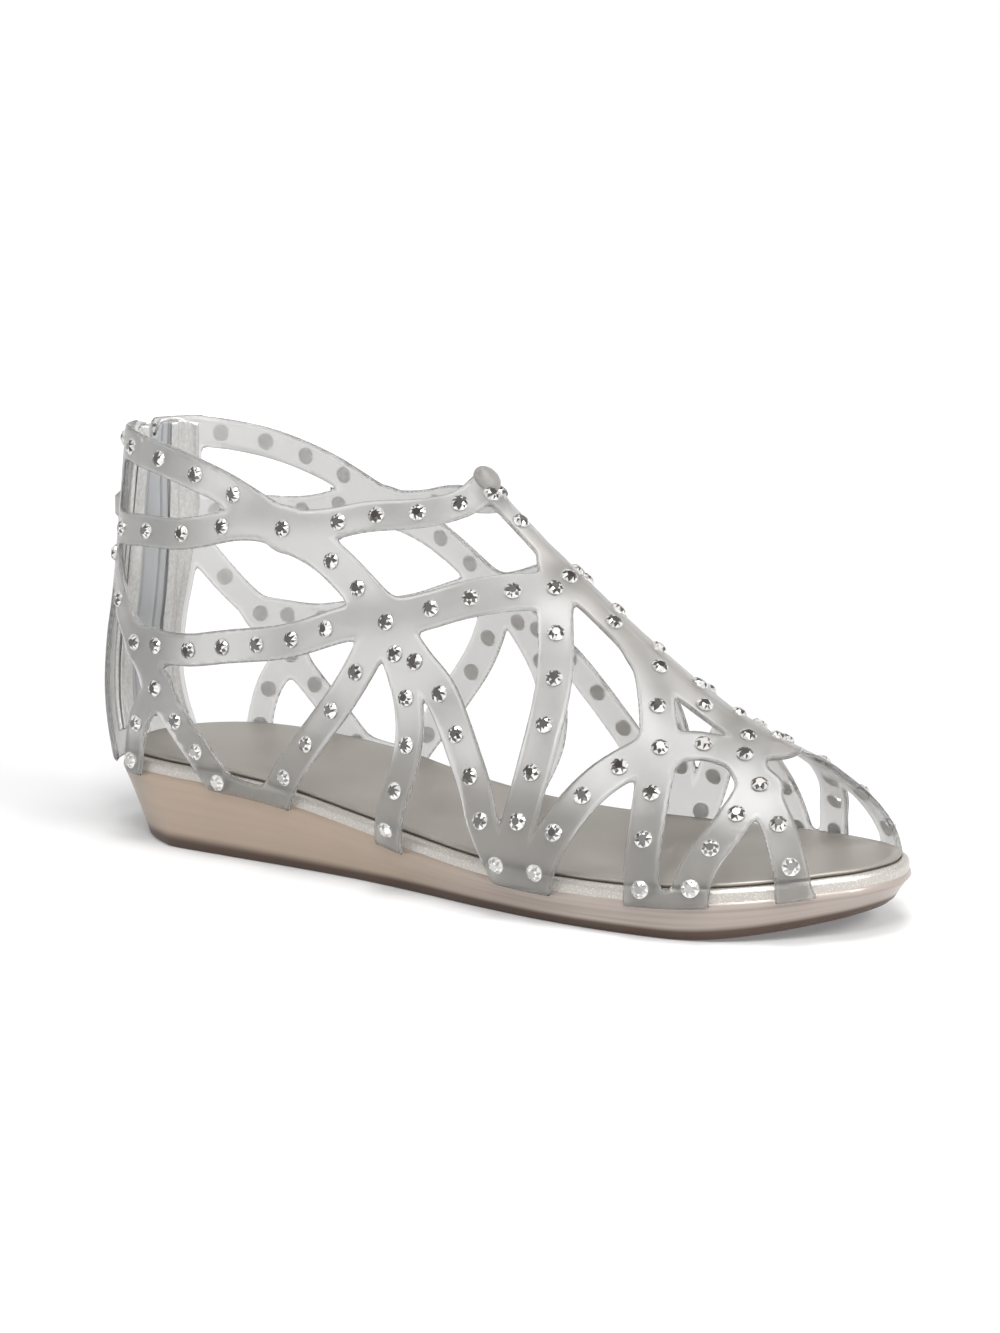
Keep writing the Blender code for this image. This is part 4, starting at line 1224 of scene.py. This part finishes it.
# %% Linings of the facings
def lining(name, inner_side):
    """Thin plate inside the tape, from 9 mm beside the zip to the facing's front edge. It steps in over
    the tape's edge, and its folds are a wave of 0.55 mm."""
    part, rise = np.meshgrid(np.linspace(0.0, 1.0, 60), np.linspace(0.0, 1.0, 140), indexing="ij")
    up = foot + (height_share(COLLAR_TOP - 0.8 + 0.8 * np.sin(np.pi * part)) - foot) * rise
    share = 9.0 / AROUND * (1.0 - part) + (heel_edge(up, FACING_EDGE) - 0.4 / AROUND) * part
    over = 2.0 - up if inner_side else up
    wave = 0.5 - 0.5 * np.cos(2 * np.pi * (2.4 * part + 0.12 * np.sin(8.0 * rise)))
    over_tape = np.clip((TAPE_HALF + 1.5 - share * AROUND) / 1.5, 0.0, 1.0)
    depth = WALL + 2.0 * GAP + LEATHER + 0.15 + (TAPE + 0.75) * over_tape + 0.55 * wave
    points, faces = sheet_pair(layer(share, over, depth), layer(share, over, depth + 0.5))
    obj = make_piece(name, points, faces, facing_look.owner)


lining("lining_outer_side", False)
lining("lining_inner_side", True)

# %% [markdown]
# The closed teeth come by turns from the left and the right. One tooth is a small block with cut
# corners, and the chain is that block, copied to even heights down the centre back.

# %% Teeth of the zip
PITCH = 1.3           # between neighbouring teeth
teeth = int((COLLAR_TOP - 0.5 - HEEL_SEAT - 1.5 * INSOLE) / PITCH)
height = HEEL_SEAT + 1.5 * INSOLE + 0.7 + PITCH * np.arange(teeth)
up = height_share(height)
seat_point = layer(np.zeros(teeth), up, np.full(teeth, WALL + LEATHER + GAP - 0.5 * CHAIN))
sign = np.where(np.arange(teeth) % 2, 1.0, -1.0)
plan = ((-0.6, -1), (0.6, -1), (1, -0.75), (1, 0.75), (0.6, 1), (-0.6, 1), (-1, 0.75), (-1, -0.75))
block = np.array([(x, y, z) for z in (-1, 1) for x, y in plan])
block = block * (0.5 * CHAIN, 1.55, 0.42)
tooth_points = seat_point[:, None, :] + block[None] + np.stack([0 * sign, 0.95 * sign, 0 * sign], -1)[:, None]
ring8 = np.arange(8)
tooth_faces = [list(ring8[::-1]), list(ring8 + 8)]
tooth_faces += [[k, (k + 1) % 8, 8 + (k + 1) % 8, 8 + k] for k in range(8)]
all_faces = [[int(16 * n + k) for k in f] for n in range(teeth) for f in tooth_faces]
chain = make_piece("teeth", tooth_points, all_faces, metal_look.owner, smooth=False)
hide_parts("zip_chain")

# %% [markdown]
# The slider rides on the teeth at the top of the closed zip, and the pull hangs from it. Both are cast,
# so they are lofted: rings down the centre back whose widths and thicknesses are read from a short
# table. The pull is a body of its own in the frame, so it rides on "pull" and swings with it.

# %% Bars with rounded sections
def lofted(name, rows, mat, body, node, many=28):
    """Bar down the centre back: rings of a squared circle, |x|^n + |y|^n = 1 with n = 3. Each row is
    (x, z, half width, half thickness)."""
    t = np.linspace(0, 2 * np.pi, many, endpoint=False)
    cx = np.sign(np.cos(t)) * np.abs(np.cos(t)) ** (2 / 3)
    cy = np.sign(np.sin(t)) * np.abs(np.sin(t)) ** (2 / 3)
    knots = np.arange(len(rows))
    fine = np.linspace(0, len(rows) - 1, 6 * len(rows))
    table = np.array(rows, float)
    x, z, w, d = (np.interp(fine, knots, table[:, k]) for k in range(4))
    ends = np.minimum(1.0, np.sqrt(np.clip(np.minimum(fine, len(rows) - 1 - fine) * 3.0, 0.05, 1.0)))
    rings = np.stack([x[:, None] + cx * (d * ends)[:, None], cy * (w * ends)[:, None],
                      z[:, None] + 0 * cx], -1)
    body_faces = grid_faces(len(fine), many, closed=True).tolist()
    last_ring = (len(fine) - 1) * many
    body_faces += [list(range(many))[::-1], list(range(last_ring, last_ring + many))]
    obj = make_piece(name, rings, body_faces, mat, body=body)
    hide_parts(node)
    return obj


middle = COLLAR_TOP - 3.0 - 0.5 * SLIDER
face_x = float(last(0.0, height_share(middle))[0]) - 1.6 * GAP
print("slider's middle:", round(middle, 1), "mm up, zip's face at", round(face_x, 1), "mm")

# %% [markdown]
# The slider is a short bar with a waist at both ends. The pull is a thin stem that ends in a thick drop,
# which stands off from the heel, as it does in the photograph where it shows beyond the outline.

# %% Slider and pull
lofted("slider", [(face_x - 1.2, middle - 0.5 * SLIDER, CHAIN_HALF, 0.7),
                  (face_x - 1.3, middle - 0.35 * SLIDER, 3.3, 1.2),
                  (face_x - 1.3, middle + 0.35 * SLIDER, 3.3, 1.2),
                  (face_x - 1.2, middle + 0.5 * SLIDER, CHAIN_HALF, 0.7)],
       metal_look.owner, "shoe", "zip_slider")
x = face_x - PULL_OUT
z = middle + 0.15 * SLIDER
lofted("pull", [(x, z + 0.9, 1.6, 0.6), (x, z - 0.04 * PULL, 1.9, 0.6), (x - 0.4, z - 0.48 * PULL, 2.2, 0.6),
                (x - 0.9, z - 0.61 * PULL, 2.6, 0.9), (x - 1.7, z - 0.70 * PULL, PULL_HALF, PULL_THICK),
                (x - 1.7, z - 0.93 * PULL, PULL_HALF, PULL_THICK),
                (x - 1.5, z - PULL, 0.7 * PULL_HALF, 0.6 * PULL_THICK)],
       metal_look.owner, "pull", "zip_pull")

# %% [markdown]
# ## Floor, light and camera
#
# The photograph is a shop picture on a white ground. The ground is matt, and it also glows a little,
# more so with distance, so that it stays white to the horizon and still shows the shadow under the
# shoe.

# %% White ground
HALF_FLOOR = 30.0
corners = [(-HALF_FLOOR, -HALF_FLOOR, 0), (HALF_FLOOR, -HALF_FLOOR, 0),
           (HALF_FLOOR, HALF_FLOOR, 0), (-HALF_FLOOR, HALF_FLOOR, 0)]
ground = surface("ground_white", Base_Color=(0.60, 0.60, 0.60, 1.0), Roughness=0.9,
                 Specular_IOR_Level=0.0, Emission_Strength=1.0)
distance = ground.node("ShaderNodeVectorMath", {"operation": "LENGTH"}, {0: ground.place()}, output=1)
glow = ground.mix(ground.ramp(distance, 0.0, 1.1), (0.15, 0.15, 0.15), (0.66, 0.66, 0.66))
ground.feed("Emission Color", glow)
mesh = bpy.data.meshes.new("floor")
mesh.from_pydata(corners, [], [(0, 1, 2, 3)])
mesh.materials.append(ground.owner)
floor = bpy.data.objects.new("floor", mesh)
bpy.context.scene.collection.objects.link(floor)
print("floor:", 2 * HALF_FLOOR, "m wide")

# %% [markdown]
# The light comes mostly from the room, as in a white tent. It is brightest at the horizon, and falls to
# 0.72 of that higher up. The world has a graph too, so the same class makes it.

# %% Light of the room
studio = Graph(bpy.data.worlds.new("studio"), "Background", {"Color": (1.0, 1.0, 1.0, 1.0)})
direction = studio.node("ShaderNodeTexCoord")
height_of_sky = studio.node("ShaderNodeSeparateXYZ", (), {0: direction}, output=2)
sky = studio.node("ShaderNodeMapRange", (), {"Value": height_of_sky, "From Min": 0.03, "From Max": 0.25,
                                             "To Min": 1.0, "To Max": 0.72})
studio.feed("Strength", sky)
bpy.context.scene.world = studio.owner
print("world nodes:", len(studio.tree.nodes))

# %% [markdown]
# Three soft lamps give the plastic its sheen: one above the toe, one before it, and one on the outer
# side. The picture is shown as it is, without a film's tone curve, as a shop picture is.

# %% Lamps
def lamp(name, place, aim, size, power):
    """Area lamp at a place, facing a point."""
    data = bpy.data.lights.new(name, "AREA")
    data.size = size
    data.energy = power
    obj = bpy.data.objects.new(name, data)
    obj.location = place
    obj.rotation_euler = (Vector(aim) - Vector(place)).to_track_quat("-Z", "Y").to_euler()
    bpy.context.scene.collection.objects.link(obj)
    return obj


lamp("top_lamp", (0.25, -0.15, 1.1), (0.08, 0.0, 0.0), 0.5, 7.0)
lamp("toe_lamp", (0.95, -0.1, 0.6), (0.08, 0.0, 0.05), 0.35, 5.0)
lamp("side_lamp", (0.55, -0.75, 0.9), (0.08, 0.0, 0.05), 0.30, 5.0)
bpy.context.scene.view_settings.view_transform = "Standard"
print("lamps:", len(bpy.data.lights))

# %% [markdown]
# The camera stands to the front of the outer side, 34 degrees round from square on and 11 degrees
# above, nearly a metre away behind a long lens. These numbers were fitted to points that can be told
# apart in the photograph, such as the toe, the corners of the wedge and the top of the zip.

# %% Camera
camera = bpy.data.cameras.new("camera")
camera.sensor_width = 36.0
camera.sensor_fit = "HORIZONTAL"
camera.lens = 122.44
camera.clip_end = 100.0
viewer = bpy.data.objects.new("camera", camera)
viewer.location = (0.59128, -0.75827, 0.22936)
viewer.rotation_euler = (np.radians(90.0 - 10.66), 0.0, np.radians(33.78))
bpy.context.scene.collection.objects.link(viewer)
bpy.context.scene.camera = viewer
print("camera is", round(viewer.location.length, 3), "m away")
